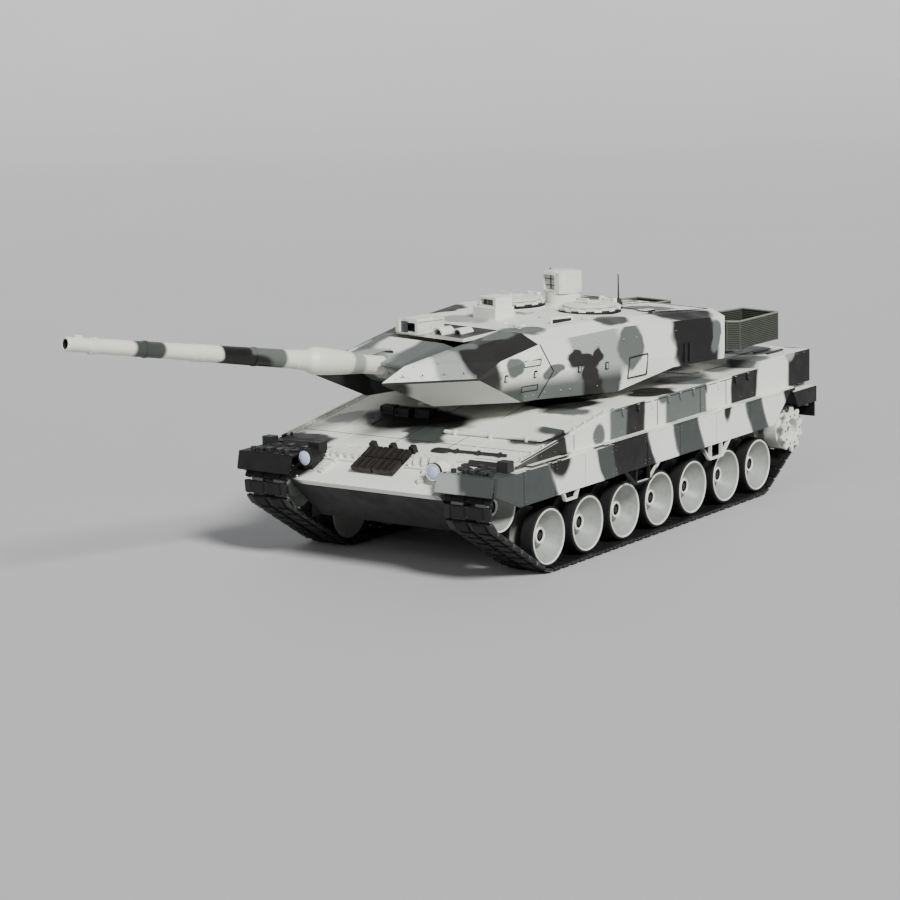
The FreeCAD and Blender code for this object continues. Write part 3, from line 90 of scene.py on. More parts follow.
class Tree:
    """A material's node tree, with short calls for the nodes that the paints share."""

    def __init__(self, name, rough=0.55, metal=0.0):
        self.material = bpy.data.materials.new(name)
        self.material.use_nodes = True
        self.nodes = self.material.node_tree.nodes
        self.links = self.material.node_tree.links
        self.shader = self.nodes["Principled BSDF"]
        self.shader.inputs["Roughness"].default_value = rough
        self.shader.inputs["Metallic"].default_value = metal
        coordinates = self.nodes.new("ShaderNodeTexCoord")
        self.place = coordinates.outputs["Object"]
        self.normal = coordinates.outputs["Normal"]

    def put(self, socket, value):
        if isinstance(value, bpy.types.NodeSocket):
            self.links.new(value, socket)
        elif socket.type == "RGBA":
            socket.default_value = value + (1.0,)
        else:
            socket.default_value = value

    def node(self, kind, values, **settings):
        """A new node with its settings made and its inputs filled in order."""
        node = self.nodes.new("ShaderNode" + kind)
        for name, setting in settings.items():
            setattr(node, name, setting)
        for socket, value in zip(node.inputs, values):
            self.put(socket, value)
        return node

    def math(self, operation, a, b=0.0):
        return self.node("Math", (a, b), operation=operation).outputs[0]

    def plus(self, a, b):
        return self.math("ADD", a, b)

    def minus(self, a, b):
        return self.math("SUBTRACT", a, b)

    def times(self, a, b):
        return self.math("MULTIPLY", a, b)

    def below(self, a, limit):
        return self.math("LESS_THAN", a, limit)

    def above(self, a, limit):
        return self.math("GREATER_THAN", a, limit)

    def size(self, a):
        return self.math("ABSOLUTE", a)

    def vector(self, operation, a, b=(0.0, 0.0, 0.0)):
        node = self.node("VectorMath", (a, b), operation=operation)
        return node.outputs["Value" if operation in ("LENGTH", "DOT_PRODUCT") else "Vector"]

    def split(self, vector):
        return tuple(self.node("SeparateXYZ", (vector,)).outputs)

    def join(self, x, y, z):
        return self.node("CombineXYZ", (x, y, z)).outputs[0]

    def turn(self, vector, angle, shift=(0.0, 0.0, 0.0)):
        return self.node("Mapping", (vector, shift, (0.0, 0.0, angle))).outputs[0]

    def from_point(self, point):
        """The place measured from a point given in metres."""
        return self.vector("SUBTRACT", self.place, tuple(point))

    def in_turret(self):
        """The place in the turret's own axes, in metres."""
        pivot = Matrix.Rotation(-TURRET_YAW, 3, "Z") @ Vector((-HULL_SHIFT, 0.0, 0.0))
        return self.turn(self.place, -TURRET_YAW, tuple(pivot))

    def noise(self, vector, scale, detail=3.0, colour=False, rough=0.5):
        node = self.node("TexNoise", (vector,))
        for name, value in (("Scale", scale), ("Detail", detail), ("Roughness", rough)):
            node.inputs[name].default_value = value
        return node.outputs["Color" if colour else "Fac"]

    def spread(self, value, low, high, out_low=0.0, out_high=1.0):
        return self.node("MapRange", (value, low, high, out_low, out_high),
                         interpolation_type="SMOOTHSTEP").outputs[0]

    def mix(self, factor, a, b, blend="MIX"):
        node = self.node("Mix", (factor,), data_type="RGBA", blend_type=blend)
        for index, colour in zip(MIX_COLOURS, (a, b)):
            self.put(node.inputs[index], colour)
        return node.outputs[MIX_RESULT]

    def warp(self, vector, scale, amount):
        """Shift a position by noise, so that a sprayed edge wanders."""
        cloud = self.noise(vector, scale, 2.0, colour=True)
        offset = self.vector("SUBTRACT", cloud, (0.5, 0.5, 0.5))
        return self.vector("ADD", vector, self.vector("MULTIPLY", offset, (amount,) * 3))

    def bands(self, along, start, end, boundaries, soft=0.9):
        """Colours in order along a line: (place in mm, the colour that starts there)."""
        span = end - start
        part = self.math("DIVIDE", self.minus(along, start * MM), span * MM)
        ramp = self.node("ValToRGB", (part,))
        stops = ramp.color_ramp.elements
        colour = boundaries[0][1]
        stops[0].position = 0.0
        stops[0].color = colour + (1.0,)
        stops.remove(stops[1])
        for place, following in boundaries[1:]:
            for edge, tone in ((-soft, colour), (soft, following)):
                stop = stops.new(min(max((place + edge - start) / span, 0.0), 1.0))
                stop.color = tone + (1.0,)
            colour = following
        return ramp.outputs[0]

    def patch(self, base, colour, vector, centre, radii, soft):
        """One sprayed patch: a soft-edged ellipsoid of another colour, sizes in mm."""
        shifted = self.vector("SUBTRACT", vector, tuple(c * MM for c in centre))
        scaled = self.vector("MULTIPLY", shifted, tuple(1.0 / (r * MM) for r in radii))
        inside = self.spread(self.vector("LENGTH", scaled), 1.0 + soft, 1.0 - soft)
        return self.mix(inside, base, colour)

    def flat_patches(self, base, vector, rows, soft):
        """Patches seen from above: (colour, x, y, radius along x, radius along y)."""
        for colour, x, y, radius_x, radius_y in rows:
            base = self.patch(base, colour, vector, (x, y, 0), (radius_x, radius_y, THROUGH), soft)
        return base

    def wall_patches(self, base, vector, rows):
        """Patches seen from the side: (colour, x, z, radius along x, along z, softness)."""
        for colour, x, z, radius_x, radius_z, soft in rows:
            base = self.patch(base, colour, vector, (x, 0, z), (radius_x, THROUGH, radius_z), soft)
        return base

    def finish(self, colour, grain=900.0, bump=0.12, spread=0.10, rough=(0.45, 0.7)):
        """Fine colour variation, uneven gloss and a light surface grain."""
        cloud = self.noise(self.place, 60.0, 5.0)
        speck = self.noise(self.place, grain, 3.0)
        tone = self.plus(self.times(self.minus(cloud, 0.5), spread),
                         self.times(self.minus(speck, 0.5), spread))
        shade = self.plus(tone, 1.0)
        toned = self.mix(1.0, colour, self.join(shade, shade, shade), "MULTIPLY")
        self.put(self.shader.inputs["Base Color"], toned)
        self.put(self.shader.inputs["Roughness"], self.spread(cloud, 0.3, 0.7, rough[0], rough[1]))
        node = self.nodes.new("ShaderNodeBump")
        node.inputs["Strength"].default_value = bump
        node.inputs["Distance"].default_value = 0.0002
        self.put(node.inputs["Height"], speck)
        self.put(self.shader.inputs["Normal"], node.outputs[0])
        return self.material


# ---------------------------------------------------------------- paints
SKIRT_BANDS = ((-245, BLACK), (-186, WHITE), (-150, DARK_GREY), (-122, WHITE), (-46, DARK_GREY),
               (-9, WHITE), (28, BLACK), (79, DARK_GREY), (101, WHITE), (164, DARK_GREY))
SKIRT_PATCHES = ((BLACK, 155, 88, 15, 17, 0.18), (BLACK, -89, 84, 6, 11, 0.25))
SPONSON_BANDS = ((-245, BLACK), (-201, WHITE), (-147, BLACK), (-106, WHITE), (-66, GREY),
                 (-4, WHITE), (28, BLACK), (52, GREY), (75, WHITE), (135, SMOKE), (172, DARK_GREY))
SPONSON_PATCHES = ((GREY, 91, 90, 9, 8, 0.18), (GREY, -2, 108, 10, 9, 0.18),
                   (PALE_GREY, -203, 112, 9, 9, 0.2))
# the grey patch at (84, 78), under the wedge's front, is partly camouflage and partly a painted
# shadow of the turret
DECK_PATCHES = ((DARK_GREY, 148, 86, 12, 20), (SMOKE, 139, 99, 10, 12), (GREY, 84, 78, 10, 20),
                (SMOKE, 128, -24, 24, 50), (DARK_GREY, 158, 6, 17, 30),
                (PALE_GREY, 140, -84, 14, 14), (WHITE, 166, -34, 9, 22), (WHITE, 156, 37, 15, 18),
                (WHITE, 172, 76, 6, 30), (SMOKE, 190, -92, 12, 30), (PALE_GREY, 238, 76, 14, 20),
                # the black patch at (220, -92) on the right front fender is partly the fender's
                # black paint and partly painted shade
                (DARK_GREY, 226, 106, 17, 24), (BLACK, 220, -92, 34, 34), (BLACK, 60, 60, 24, 30),
                (GREY, 40, -82, 34, 26), (BLACK, -10, 92, 26, 14), (BLACK, -60, -84, 24, 20),
                (GREY, -70, 88, 22, 24), (DARK_GREY, -120, 30, 24, 34), (BLACK, -130, -50, 18, 26),
                (GREY, -180, -70, 30, 26), (DARK_GREY, -200, 66, 24, 30), (BLACK, -228, 0, 14, 40),
                (GREY, -160, 96, 20, 14), (DARK_GREY, -241, -58, 9, 24), (BLACK, -242, 30, 7, 16),
                (GREY, -241, 92, 7, 14))
# where the hull's colours change, in metres
SKIRT_TOP = 0.0841
SPONSON_WALL = 0.1086
FENDER_UNDERSIDE = 0.0625
TUB_HALF_WIDTH = 0.1130


def hull_paint():
    """Camouflage on the hull: bands along the sides, patches on the deck and nose, two of them
    partly painted shade.
    """
    tree = Tree("hull_camouflage")
    x, y, z = tree.split(tree.from_point((HULL_SHIFT, 0.0, 0.0)))
    # the far side has the same bands, laid from the other end
    flip = tree.minus(1.0, tree.times(tree.below(y, 0.0), 2.0))
    side_place = tree.warp(tree.join(tree.times(x, flip), 0.0, z), 22.0, 0.016)
    side_x, _, _ = tree.split(side_place)
    lean = tree.times(tree.minus(z, 0.072), 0.45)
    skirt = tree.bands(tree.minus(side_x, lean), -245, 245, SKIRT_BANDS)
    skirt = tree.wall_patches(skirt, side_place, SKIRT_PATCHES)
    sponson = tree.bands(side_x, -245, 245, SPONSON_BANDS)
    sponson = tree.wall_patches(sponson, side_place, SPONSON_PATCHES)
    sides = tree.mix(tree.above(z, SKIRT_TOP), skirt, sponson)
    deck_place = tree.warp(tree.warp(tree.join(x, y, 0.0), 22.0, 0.024), 60.0, 0.012)
    deck = tree.flat_patches(WHITE, deck_place, DECK_PATCHES, 0.17)
    _, _, normal_z = tree.split(tree.normal)
    wall = tree.times(tree.above(tree.size(y), SPONSON_WALL), tree.below(normal_z, 0.7))
    colour = tree.mix(wall, deck, sides)
    # the tub and everything under the fenders are black
    low = tree.times(tree.below(z, FENDER_UNDERSIDE), tree.below(tree.size(y), TUB_HALF_WIDTH))
    return tree.finish(tree.mix(low, colour, BLACK))


TURRET_BANDS = ((-200, WHITE), (-100, BLACK), (-49, WHITE), (8, PALE_GREY), (52, WHITE),
                (119, SMOKE))
# below the side's crease: the camouflage with painted shade, darker where the lower wall faces down
UNDERCUT_CAMO_AND_SHADE_BANDS = ((-200, WHITE), (-100, BLACK), (-52, WHITE), (12, DARK_GREY), (28, BLACK),
                  (46, GREY), (100, DARK_GREY), (125, SMOKE))
TURRET_PATCHES = ((SMOKE, 41, 138, 15, 7, 0.13), (SMOKE, 50, 142, 7, 7, 0.13),
                  (SMOKE, 29, 144, 5, 8, 0.13), (SMOKE, 36, 127, 9, 9, 0.13),
                  (GREY, 67, 133, 8, 6, 0.13), (GREY, 105, 139, 8, 7, 0.13),
                  (GREY, -2, 145, 14, 18, 0.13), (GREY, -98, 141, 6, 15, 0.13))
WEDGE_BANDS = ((60, SMOKE), (139, PALE_GREY), (165, WHITE))
WEDGE_PATCHES = ((GREY, 92, 46, 14, 12), (GREY, 124, 44, 9, 12))
# a grey for the wedge's down-facing faces: painted shade on the off-white paint
WEDGE_UNDERSIDE_SHADE_GREY = (0.52, 0.53, 0.49)
ROOF_PATCHES = ((PALE_GREY, 62, -20, 14, 22), (GREY, 72, 54, 16, 17), (GREY, -78, 40, 22, 20),
                (BLACK, -72, 82, 29, 21), (DARK_GREY, -100, -40, 24, 30), (GREY, -30, -64, 26, 18),
                (BLACK, 38, -72, 22, 14), (DARK_GREY, 4, 80, 14, 10))
# where the wedge armour starts, in metres
WEDGE_START = 0.0812


def turret_paint():
    """Camouflage on the turret, in the turret's own axes, with painted shade below the side's
    crease and on the wedge's underside.
    """
    tree = Tree("turret_camouflage")
    x, y, z = tree.split(tree.in_turret())
    swap = tree.times(tree.below(y, 0.0), -0.021)
    side_place = tree.warp(tree.join(tree.plus(x, swap), 0.0, z), 26.0, 0.018)
    side_place = tree.warp(side_place, 70.0, 0.008)
    side_x, _, side_z = tree.split(side_place)
    along = tree.minus(side_x, tree.times(tree.minus(side_z, 0.140), 0.22))
    side = tree.bands(along, -200, 200, TURRET_BANDS, 1.8)
    # below the crease the side takes darker bands: camouflage and painted shade
    undercut_camo_and_shade = tree.bands(along, -200, 200, UNDERCUT_CAMO_AND_SHADE_BANDS, 1.6)
    side = tree.mix(tree.spread(z, 0.1345, 0.1215), side, undercut_camo_and_shade)
    side = tree.wall_patches(side, side_place, TURRET_PATCHES)
    top_place = tree.warp(tree.join(x, tree.size(y), 0.0), 34.0, 0.016)
    top_x, top_y, _ = tree.split(top_place)
    slant = tree.minus(top_x, tree.times(tree.minus(top_y, 0.062), 0.45))
    wedge = tree.bands(slant, 60, 210, WEDGE_BANDS, 2.2)
    wedge = tree.flat_patches(wedge, top_place, WEDGE_PATCHES, 0.15)
    roof_place = tree.warp(tree.warp(tree.join(x, y, 0.0), 22.0, 0.026), 60.0, 0.014)
    roof = tree.flat_patches(WHITE, roof_place, ROOF_PATCHES, 0.16)
    under_place = tree.warp(tree.join(x, tree.size(y), 0.0), 26.0, 0.010)
    # the wedge's down-facing faces get a greyer tone as painted shade, with a black camouflage
    # patch
    under = tree.flat_patches(WEDGE_UNDERSIDE_SHADE_GREY, under_place, ((BLACK, 197, 36, 24, 16),), 0.2)
    _, _, normal_z = tree.split(tree.turn(tree.normal, -TURRET_YAW))
    ahead = tree.above(x, WEDGE_START)
    top = tree.mix(ahead, roof, wedge)
    colour = tree.mix(tree.above(normal_z, 0.45), side, top)
    return tree.finish(tree.mix(tree.times(ahead, tree.below(normal_z, -0.25)), colour, under))


GUN_BANDS = ((80, GREY), (128, WHITE), (187, PALE_GREY), (200, WHITE), (262, GREY), (293, BLACK),
             (319, WHITE), (369, DARK_GREY), (396, WHITE))
CREAM = (0.80, 0.76, 0.58)


def gun_paint():
    """Camouflage bands round the barrel, with a black patch below."""
    tree = Tree("gun_camouflage")
    level = GUN.to_3x3()
    place = tree.warp(tree.from_point(GUN @ Vector((0.0, 0.0, TRUNNION.z))), 30.0, 0.010)
    along = tree.vector("DOT_PRODUCT", place, tuple(level @ Vector((1000.0, 0.0, 0.0))))
    bands = tree.bands(along, 60, 460, GUN_BANDS, 1.2)
    low_point = level @ Vector((303.0, 0.0, -10.0)) / MM
    bands = tree.patch(bands, BLACK, place, tuple(low_point), (30, 30, 11), 0.12)
    cream = tree.mix(0.25, bands, CREAM, "MULTIPLY")
    return tree.finish(cream, bump=0.06, spread=0.05, rough=(0.38, 0.5))


def mantlet_paint():
    """The gun's cover: grey with white and black sprayed across it."""
    tree = Tree("mantlet_camouflage")
    place = tree.warp(tree.from_point(GUN @ Vector((0.0, 0.0, TRUNNION.z))), 30.0, 0.012)
    colour = GREY
    for patch, centre, radii in ((WHITE, (135, -36, 40), (30, 18, 24)),
                                 (BLACK, (95, -4, 28), (16, 30, 30)),
                                 (PALE_GREY, (165, -44, 26), (18, 26, 20))):
        colour = tree.patch(colour, patch, place, centre, radii, 0.2)
    return tree.finish(colour)


def plain_paint(name, colour, rough=(0.45, 0.65), spread=0.10, bump=0.12, metal=0.0, grain=900.0):
    """One paint or plastic with worn, uneven tone."""
    tree = Tree(name, metal=metal)
    worn = tree.spread(tree.noise(tree.place, 140.0, 6.0, rough=0.65), 0.42, 0.72)
    darker = tuple(c * 0.82 for c in colour)
    return tree.finish(tree.mix(worn, colour, darker), grain, bump, spread, rough)


def fitting_paint():
    """Fender gear is dark steel, and the flat cover on the glacis is off-white."""
    tree = Tree("fittings_paint")
    place = tree.from_point((HULL_SHIFT, 0.0, 0.0))
    x, _, _ = tree.split(tree.warp(place, 22.0, 0.010))
    cover = tree.times(tree.above(x, 0.100), tree.below(x, 0.180))
    shaded = tree.patch(WHITE, DARK_GREY, place, (128, 96, 98), (12, 14, 30), 0.25)
    return tree.finish(tree.mix(cover, (0.020, 0.021, 0.020), shaded))


def lamp_paint():
    """The left lamp's housing is off-white and the right one black."""
    tree = Tree("lamp_housing_paint")
    _, y, _ = tree.split(tree.place)
    return tree.finish(tree.mix(tree.below(y, 0.0), WHITE, BLACK))


def roof_paint():
    """Fittings on the turret roof are off-white, but for the two black aerial bases."""
    tree = Tree("roof_fitting_paint")
    place = tree.in_turret()
    colour = WHITE
    for y in AERIAL_Y:
        colour = tree.patch(colour, BLACK, place, (AERIAL_X, y, 175), (5, 5, THROUGH), 0.04)
    return tree.finish(colour)


def rubber(name, colour):
    return plain_paint(name, colour, (0.72, 0.9), 0.25, 0.35, grain=1600.0)


def glass(name, colour, rough=0.05):
    tree = Tree(name, rough)
    haze = tree.noise(tree.place, 90.0, 4.0)
    deeper = tuple(c * 0.7 for c in colour)
    tree.put(tree.shader.inputs["Base Color"], tree.mix(haze, colour, deeper))
    tree.shader.inputs["IOR"].default_value = 1.5
    tree.shader.inputs["Coat Weight"].default_value = 0.6
    tree.put(tree.shader.inputs["Roughness"], tree.spread(haze, 0.2, 0.8, rough, rough + 0.06))
    return tree.material


PAINT = {
    "hull": hull_paint(),
    "turret": turret_paint(),
    "gun": gun_paint(),
    "mantlet": mantlet_paint(),
    "fittings": fitting_paint(),
    "lamp": lamp_paint(),
    "roof": roof_paint(),
    "white": plain_paint("off_white_paint", (0.78, 0.79, 0.72), (0.4, 0.6)),
    # the wheels' discs are painted a darker grey than their off-white lip: painted shade in the
    # dish
    "dish": plain_paint("wheel_dish_painted_shade", (0.31, 0.33, 0.30), (0.4, 0.6)),
    "pale": glass("pale_window", (0.50, 0.52, 0.50), 0.15),
    "rim": plain_paint("basket_rim", (0.20, 0.215, 0.18), (0.4, 0.6)),
    # near-black for seams and joints, and for painted shade in holes, hollows and behind ribs
    "dark": plain_paint("seam_and_shade_dark", (0.004, 0.004, 0.004), (0.7, 0.9)),
    "black": plain_paint("black_plastic", (0.008, 0.008, 0.0085), (0.4, 0.6)),
    "brown": plain_paint("brown_pads", (0.014, 0.011, 0.009), (0.5, 0.7), 0.3, 0.3),
    "olive": plain_paint("olive_mesh", OLIVE, (0.45, 0.65), 0.25),
    "track": plain_paint("track_black", (0.008, 0.008, 0.008), (0.4, 0.6), 0.35, 0.3),
    "pad": rubber("pad_rubber", (0.006, 0.006, 0.006)),
    "tyre": rubber("tyre_rubber", (0.0075, 0.0075, 0.008)),
    "steel": plain_paint("bare_steel", (0.42, 0.42, 0.43), (0.25, 0.4), 0.2, 0.1, metal=1.0),
    "gunmetal": plain_paint("dark_steel", (0.035, 0.036, 0.036), (0.35, 0.5), 0.2, 0.15,
                            metal=0.3),
    "chrome": plain_paint("reflector", (0.86, 0.88, 0.92), (0.05, 0.12), 0.05, 0.0, metal=1.0),
    "window": glass("sight_window", (0.015, 0.022, 0.030)),
    "lens": glass("lamp_lens", (0.62, 0.70, 0.95), 0.03),
    "blue": plain_paint("battery_wrap", (0.03, 0.09, 0.32), (0.2, 0.35), 0.1, 0.05),
    "green": plain_paint("circuit_green", (0.02, 0.15, 0.06), (0.25, 0.4), 0.15, 0.1),
}


# ---------------------------------------------------------------- mesh helpers
class Shape:
    """Collects solids, given in millimetres in one of the three axes, into one piece."""

    def __init__(self):
        self.mesh = bmesh.new()

    def add(self, points, faces, matrix=None, slot=0):
        if matrix is not None:
            points = [matrix @ Vector(p) for p in points]
        made = [self.mesh.verts.new(p) for p in points]
        for face in faces:
            created = self.mesh.faces.new([made[k] for k in face])
            created.material_index = slot

    def prism(self, outline, low, high, matrix=None, slot=0):
        """An outline in X and Y between two heights."""
        count = len(outline)
        points = [(x, y, z) for z in (low, high) for x, y in outline]
        faces = [tuple(reversed(range(count))), tuple(range(count, 2 * count))]
        for k in range(count):
            after = (k + 1) % count
            faces.append((k, after, count + after, count + k))
        self.add(points, faces, matrix, slot)

    def box(self, x0, x1, y0, y1, z0, z1, matrix=None, slot=0, chamfer=0.0):
        c = min(chamfer, (x1 - x0) / 3, (y1 - y0) / 3)
        if c > 0:
            outline = [(x0 + c, y0), (x1 - c, y0), (x1, y0 + c), (x1, y1 - c), (x1 - c, y1),
                       (x0 + c, y1), (x0, y1 - c), (x0, y0 + c)]
        else:
            outline = [(x0, y0), (x1, y0), (x1, y1), (x0, y1)]
        self.prism(outline, z0, z1, matrix, slot)

    def side_box(self, side, x0, x1, near, far, z0, z1, matrix=None, slot=0, chamfer=0.0):
        """A box on one side, between two distances from the middle plane."""
        y0, y1 = sorted((side * near, side * far))
        self.box(x0, x1, y0, y1, z0, z1, matrix, slot, chamfer)

    def lathe(self, profile, matrix, count=48, slot=0, closed=True):
        """Turn an outline of (radius, height) points about the matrix's Z axis."""
        rings = []
        for radius, height in profile:
            if radius < 1e-6:
                rings.append([self.mesh.verts.new(matrix @ Vector((0, 0, height)))])
                continue
            ring = []
            for k in range(count):
                point = matrix @ round_point(radius, 2 * math.pi * k / count, height)
                ring.append(self.mesh.verts.new(point))
            rings.append(ring)
        pairs = list(zip(rings[:-1], rings[1:]))
        if closed:
            pairs.append((rings[-1], rings[0]))
        for first, second in pairs:
            for k in range(count):
                after = (k + 1) % count
                corners = [first[k % len(first)], first[after % len(first)],
                           second[after % len(second)], second[k % len(second)]]
                unique = list(dict.fromkeys(corners))
                if len(unique) > 2:
                    face = self.mesh.faces.new(unique)
                    face.material_index = slot

    def rod(self, start, end, radius, count=12, slot=0, tip=None):
        """A round bar, or a tapered one where a tip radius is given."""
        start, end = Vector(start), Vector(end)
        tip = radius if tip is None else tip
        length = (end - start).length
        edge = min(radius, tip) * 0.25
        profile = [(0, 0), (radius - edge, 0), (radius, edge), (tip, length - edge),
                   (tip - edge, length), (0, length)]
        self.lathe(profile, facing(start, end - start), count, slot, closed=False)

    def bolt(self, place, normal, radius=0.8, height=0.5, slot=0):
        """A domed screw head that stands on a face."""
        profile = [(0, -0.2), (radius, -0.2), (radius, height * 0.5), (radius * 0.75, height * 0.9),
                   (radius * 0.35, height), (0, height)]
        self.lathe(profile, facing(place, normal), 10, slot, closed=False)

    def bolt_circle(self, axes, count, first, reach, level, radius, height, slot=0):
        """Screw heads round the axes' Z; the first stands that many spaces on from X."""
        for k in range(count):
            place = axes @ round_point(reach, 2 * math.pi * (k + first) / count, level)
            self.bolt(place, axes.to_3x3() @ UP, radius, height, slot)

    def make(self, name, axes, materials, body, replaces=(), bevel=0.0):
        mesh = bpy.data.meshes.new(name)
        bmesh.ops.transform(self.mesh, matrix=axes, verts=self.mesh.verts)
        bmesh.ops.recalc_face_normals(self.mesh, faces=self.mesh.faces)
        self.mesh.to_mesh(mesh)
        self.mesh.free()
        for material in materials:
            mesh.materials.append(PAINT[material])
        mesh.shade_smooth()
        piece = bpy.data.objects.new(name, mesh)
        bpy.context.scene.collection.objects.link(piece)
        if bevel:
            modifier = piece.modifiers.new("edges", "BEVEL")
            modifier.width = bevel * MM
            modifier.segments = 2
            modifier.limit_method = "ANGLE"
            modifier.angle_limit = math.radians(35)
        mesh.set_sharp_from_angle(angle=math.radians(32))
        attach(piece, body)
        for node in replaces:
            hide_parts(node)


def round_point(radius, angle, height):
    return Vector((radius * math.cos(angle), radius * math.sin(angle), height))


def facing(place, direction):
    """Axes at a place whose Z points in a direction."""
    turn = Vector(direction).to_track_quat("Z", "Y").to_matrix().to_4x4()
    return Matrix.Translation(Vector(place)) @ turn


def axes_of(x, y, z):
    """A turn whose columns are the three directions."""
    return Matrix((x, y, z)).transposed().to_4x4()


def across_tank(x, z, side):
    """Axes whose Z points outward on one side of the tank, at a wheel's centre."""
    return Matrix.Translation((x, 0, z)) @ Matrix.Rotation(-side * math.pi / 2, 4, "X")


# ---------------------------------------------------------------- running gear
AXLE_R = 2.6
DISH_RIM = 106.2
DISH_DEPTH = 12.5
DISH_FLOOR_R = 10.9
DISH_STEPS = 8


def wheel_profile(radius):
    """The outer disc: rim barrel, deep cone, flat floor and the open hub tube."""
    points = [(AXLE_R, 91.6), (11.4, 91.6), (radius - 1.3, 98.6), (radius - 1.3, 96.0),
              (radius, 96.0), (radius, DISH_RIM), (radius - 1.5, DISH_RIM)]
    for k in range(1, DISH_STEPS + 1):
        part = k / DISH_STEPS
        wide = (radius - 1.5) + (DISH_FLOOR_R - radius + 1.5) * part
        points.append((wide, DISH_RIM - DISH_DEPTH * part ** 0.85))
    return points + [(10.2, 93.5), (6.9, 93.5), (6.3, 93.8), (6.0, 94.5), (5.9, 98.6),
                     (5.5, 99.1), (4.9, 99.1), (4.4, 98.6), (4.4, 94.4), (AXLE_R, 94.4)]


def wheel(name, place, body, node, side, tyre):
    x, z, radius = place
    axes = across_tank(x, z, side)
    rim = Shape()
    rim.lathe(wheel_profile(radius), axes, 64)
    lip = [(radius - 1.5, 105.6), (radius, 105.6), (radius, 106.3), (radius - 0.25, 106.85),
           (radius - 0.7, 107.0), (radius - 1.2, 106.8), (radius - 1.5, 106.3)]
    rim.lathe(lip, axes, 64, slot=1)
    inner = [(AXLE_R, 79.0), (10.0, 79.0), (radius - 1.6, 75.2), (radius - 0.4, 75.0),
             (radius, 75.4), (radius, 86.0), (8.0, 86.0), (8.0, 91.8), (AXLE_R, 91.8)]
    hub_lip = [(4.4, 97.6), (6.15, 97.6), (6.15, 98.8), (5.6, 99.35), (4.9, 99.35), (4.4, 98.8)]
    # a near-black floor and wall in the hub's hole are painted shade
    shaded_hub_floor = [(2.55, 94.2), (4.38, 94.2), (4.38, 94.6), (2.55, 94.6)]
    shaded_hub_wall = [(4.25, 94.4), (4.42, 94.4), (4.42, 98.3), (4.25, 98.3)]
    for slot, profile in ((0, inner), (1, hub_lip), (2, shaded_hub_floor), (2, shaded_hub_wall)):
        rim.lathe(profile, axes, slot=slot)
    rim.bolt_circle(axes, 8, 0.5, 8.6, 93.5, 0.9, 1.0, slot=1)
    # the discs take the darker dish grey as painted shade, the lips the off-white paint
    rim.make(name + "_rim", HULL, ["dish", "white", "dark"], body, [node])
    if tyre:
        ring = Shape()
        for low, high in ((96.2, 106.5), (75.4, 85.7)):
            middle = (low + high) / 2
            ring.lathe([(radius, low), (TYRE_R - 0.6, low), (TYRE_R - 0.12, low + 0.6),
                        (TYRE_R, middle - 2.5), (TYRE_R, middle + 2.5), (TYRE_R - 0.12, high - 0.6),
                        (TYRE_R - 0.6, high), (radius, high)], axes, 64)
        ring.make(name + "_tyres", HULL, ["tyre"], body, [node])


TOOTH_COUNT = 10
TOOTH = ((14.2, -2.7), (16.2, -2.2), (18.1, -1.5), (18.5, -0.9), (18.5, 0.9), (18.1, 1.5),
         (16.2, 2.2), (14.2, 2.7))
SPROCKET_DRUM = ((AXLE_R, 70.4), (12.5, 70.4), (12.5, 75.0), (16.7, 75.0), (16.7, 86.5),
                 (8.0, 86.5), (8.0, 95.5), (16.7, 95.5), (16.7, 106.9), (13.2, 106.9),
                 (13.2, 111.5), (9.6, 111.5), (8.6, 104.0), (5.5, 104.0), (5.4, 109.6),
                 (5.0, 110.0), (AXLE_R, 110.0))


def sprocket(side_name, side):
    """Two rings of chunky teeth with dark discs for lightening holes, painted shade, a drum between
    them and a bolted hub.
    """
    axes = across_tank(SPROCKET[0], SPROCKET[1], side)
    shape = Shape()
    for low, high, bore in ((111.4, 113.6, 9.2), (68.6, 70.6, 3.2)):
        shape.lathe([(bore, low), (14.9, low), (14.9, high - 0.3), (14.5, high),
                     (bore + 0.4, high), (bore, high - 0.4)], axes, 60)
        for k in range(TOOTH_COUNT):
            turn = Matrix.Rotation(2 * math.pi * (k + 0.5) / TOOTH_COUNT, 4, "Z")
            shape.prism(TOOTH, low, high, axes @ turn)
    shape.lathe(SPROCKET_DRUM, axes)
    # dark discs on the outer tooth ring stand in for lightening holes: painted shade
    shape.bolt_circle(axes, TOOTH_COUNT, 0, 11.9, 113.45, 1.25, 0.2, slot=2)
    shape.bolt_circle(axes, 6, 0, 7.0, 104.0, 0.9, 1.0, slot=1)
    shape.rod(axes @ Vector((0, 0, 42.0)), axes @ Vector((0, 0, 109.4)), 2.58, 20, 1)
    shape.make("sprocket_" + side_name + "_wheel", HULL, ["white", "rim", "dark"],
               side_name + "_sprocket", ["sprocket_" + side_name], bevel=0.15)


# from a wheel's face to the middle of a link: the gap, and half the link's thickness
LINK_MIDDLE = 0.2 + 1.3
LINK_PITCH = 11.5
LINK_FILL = 0.97


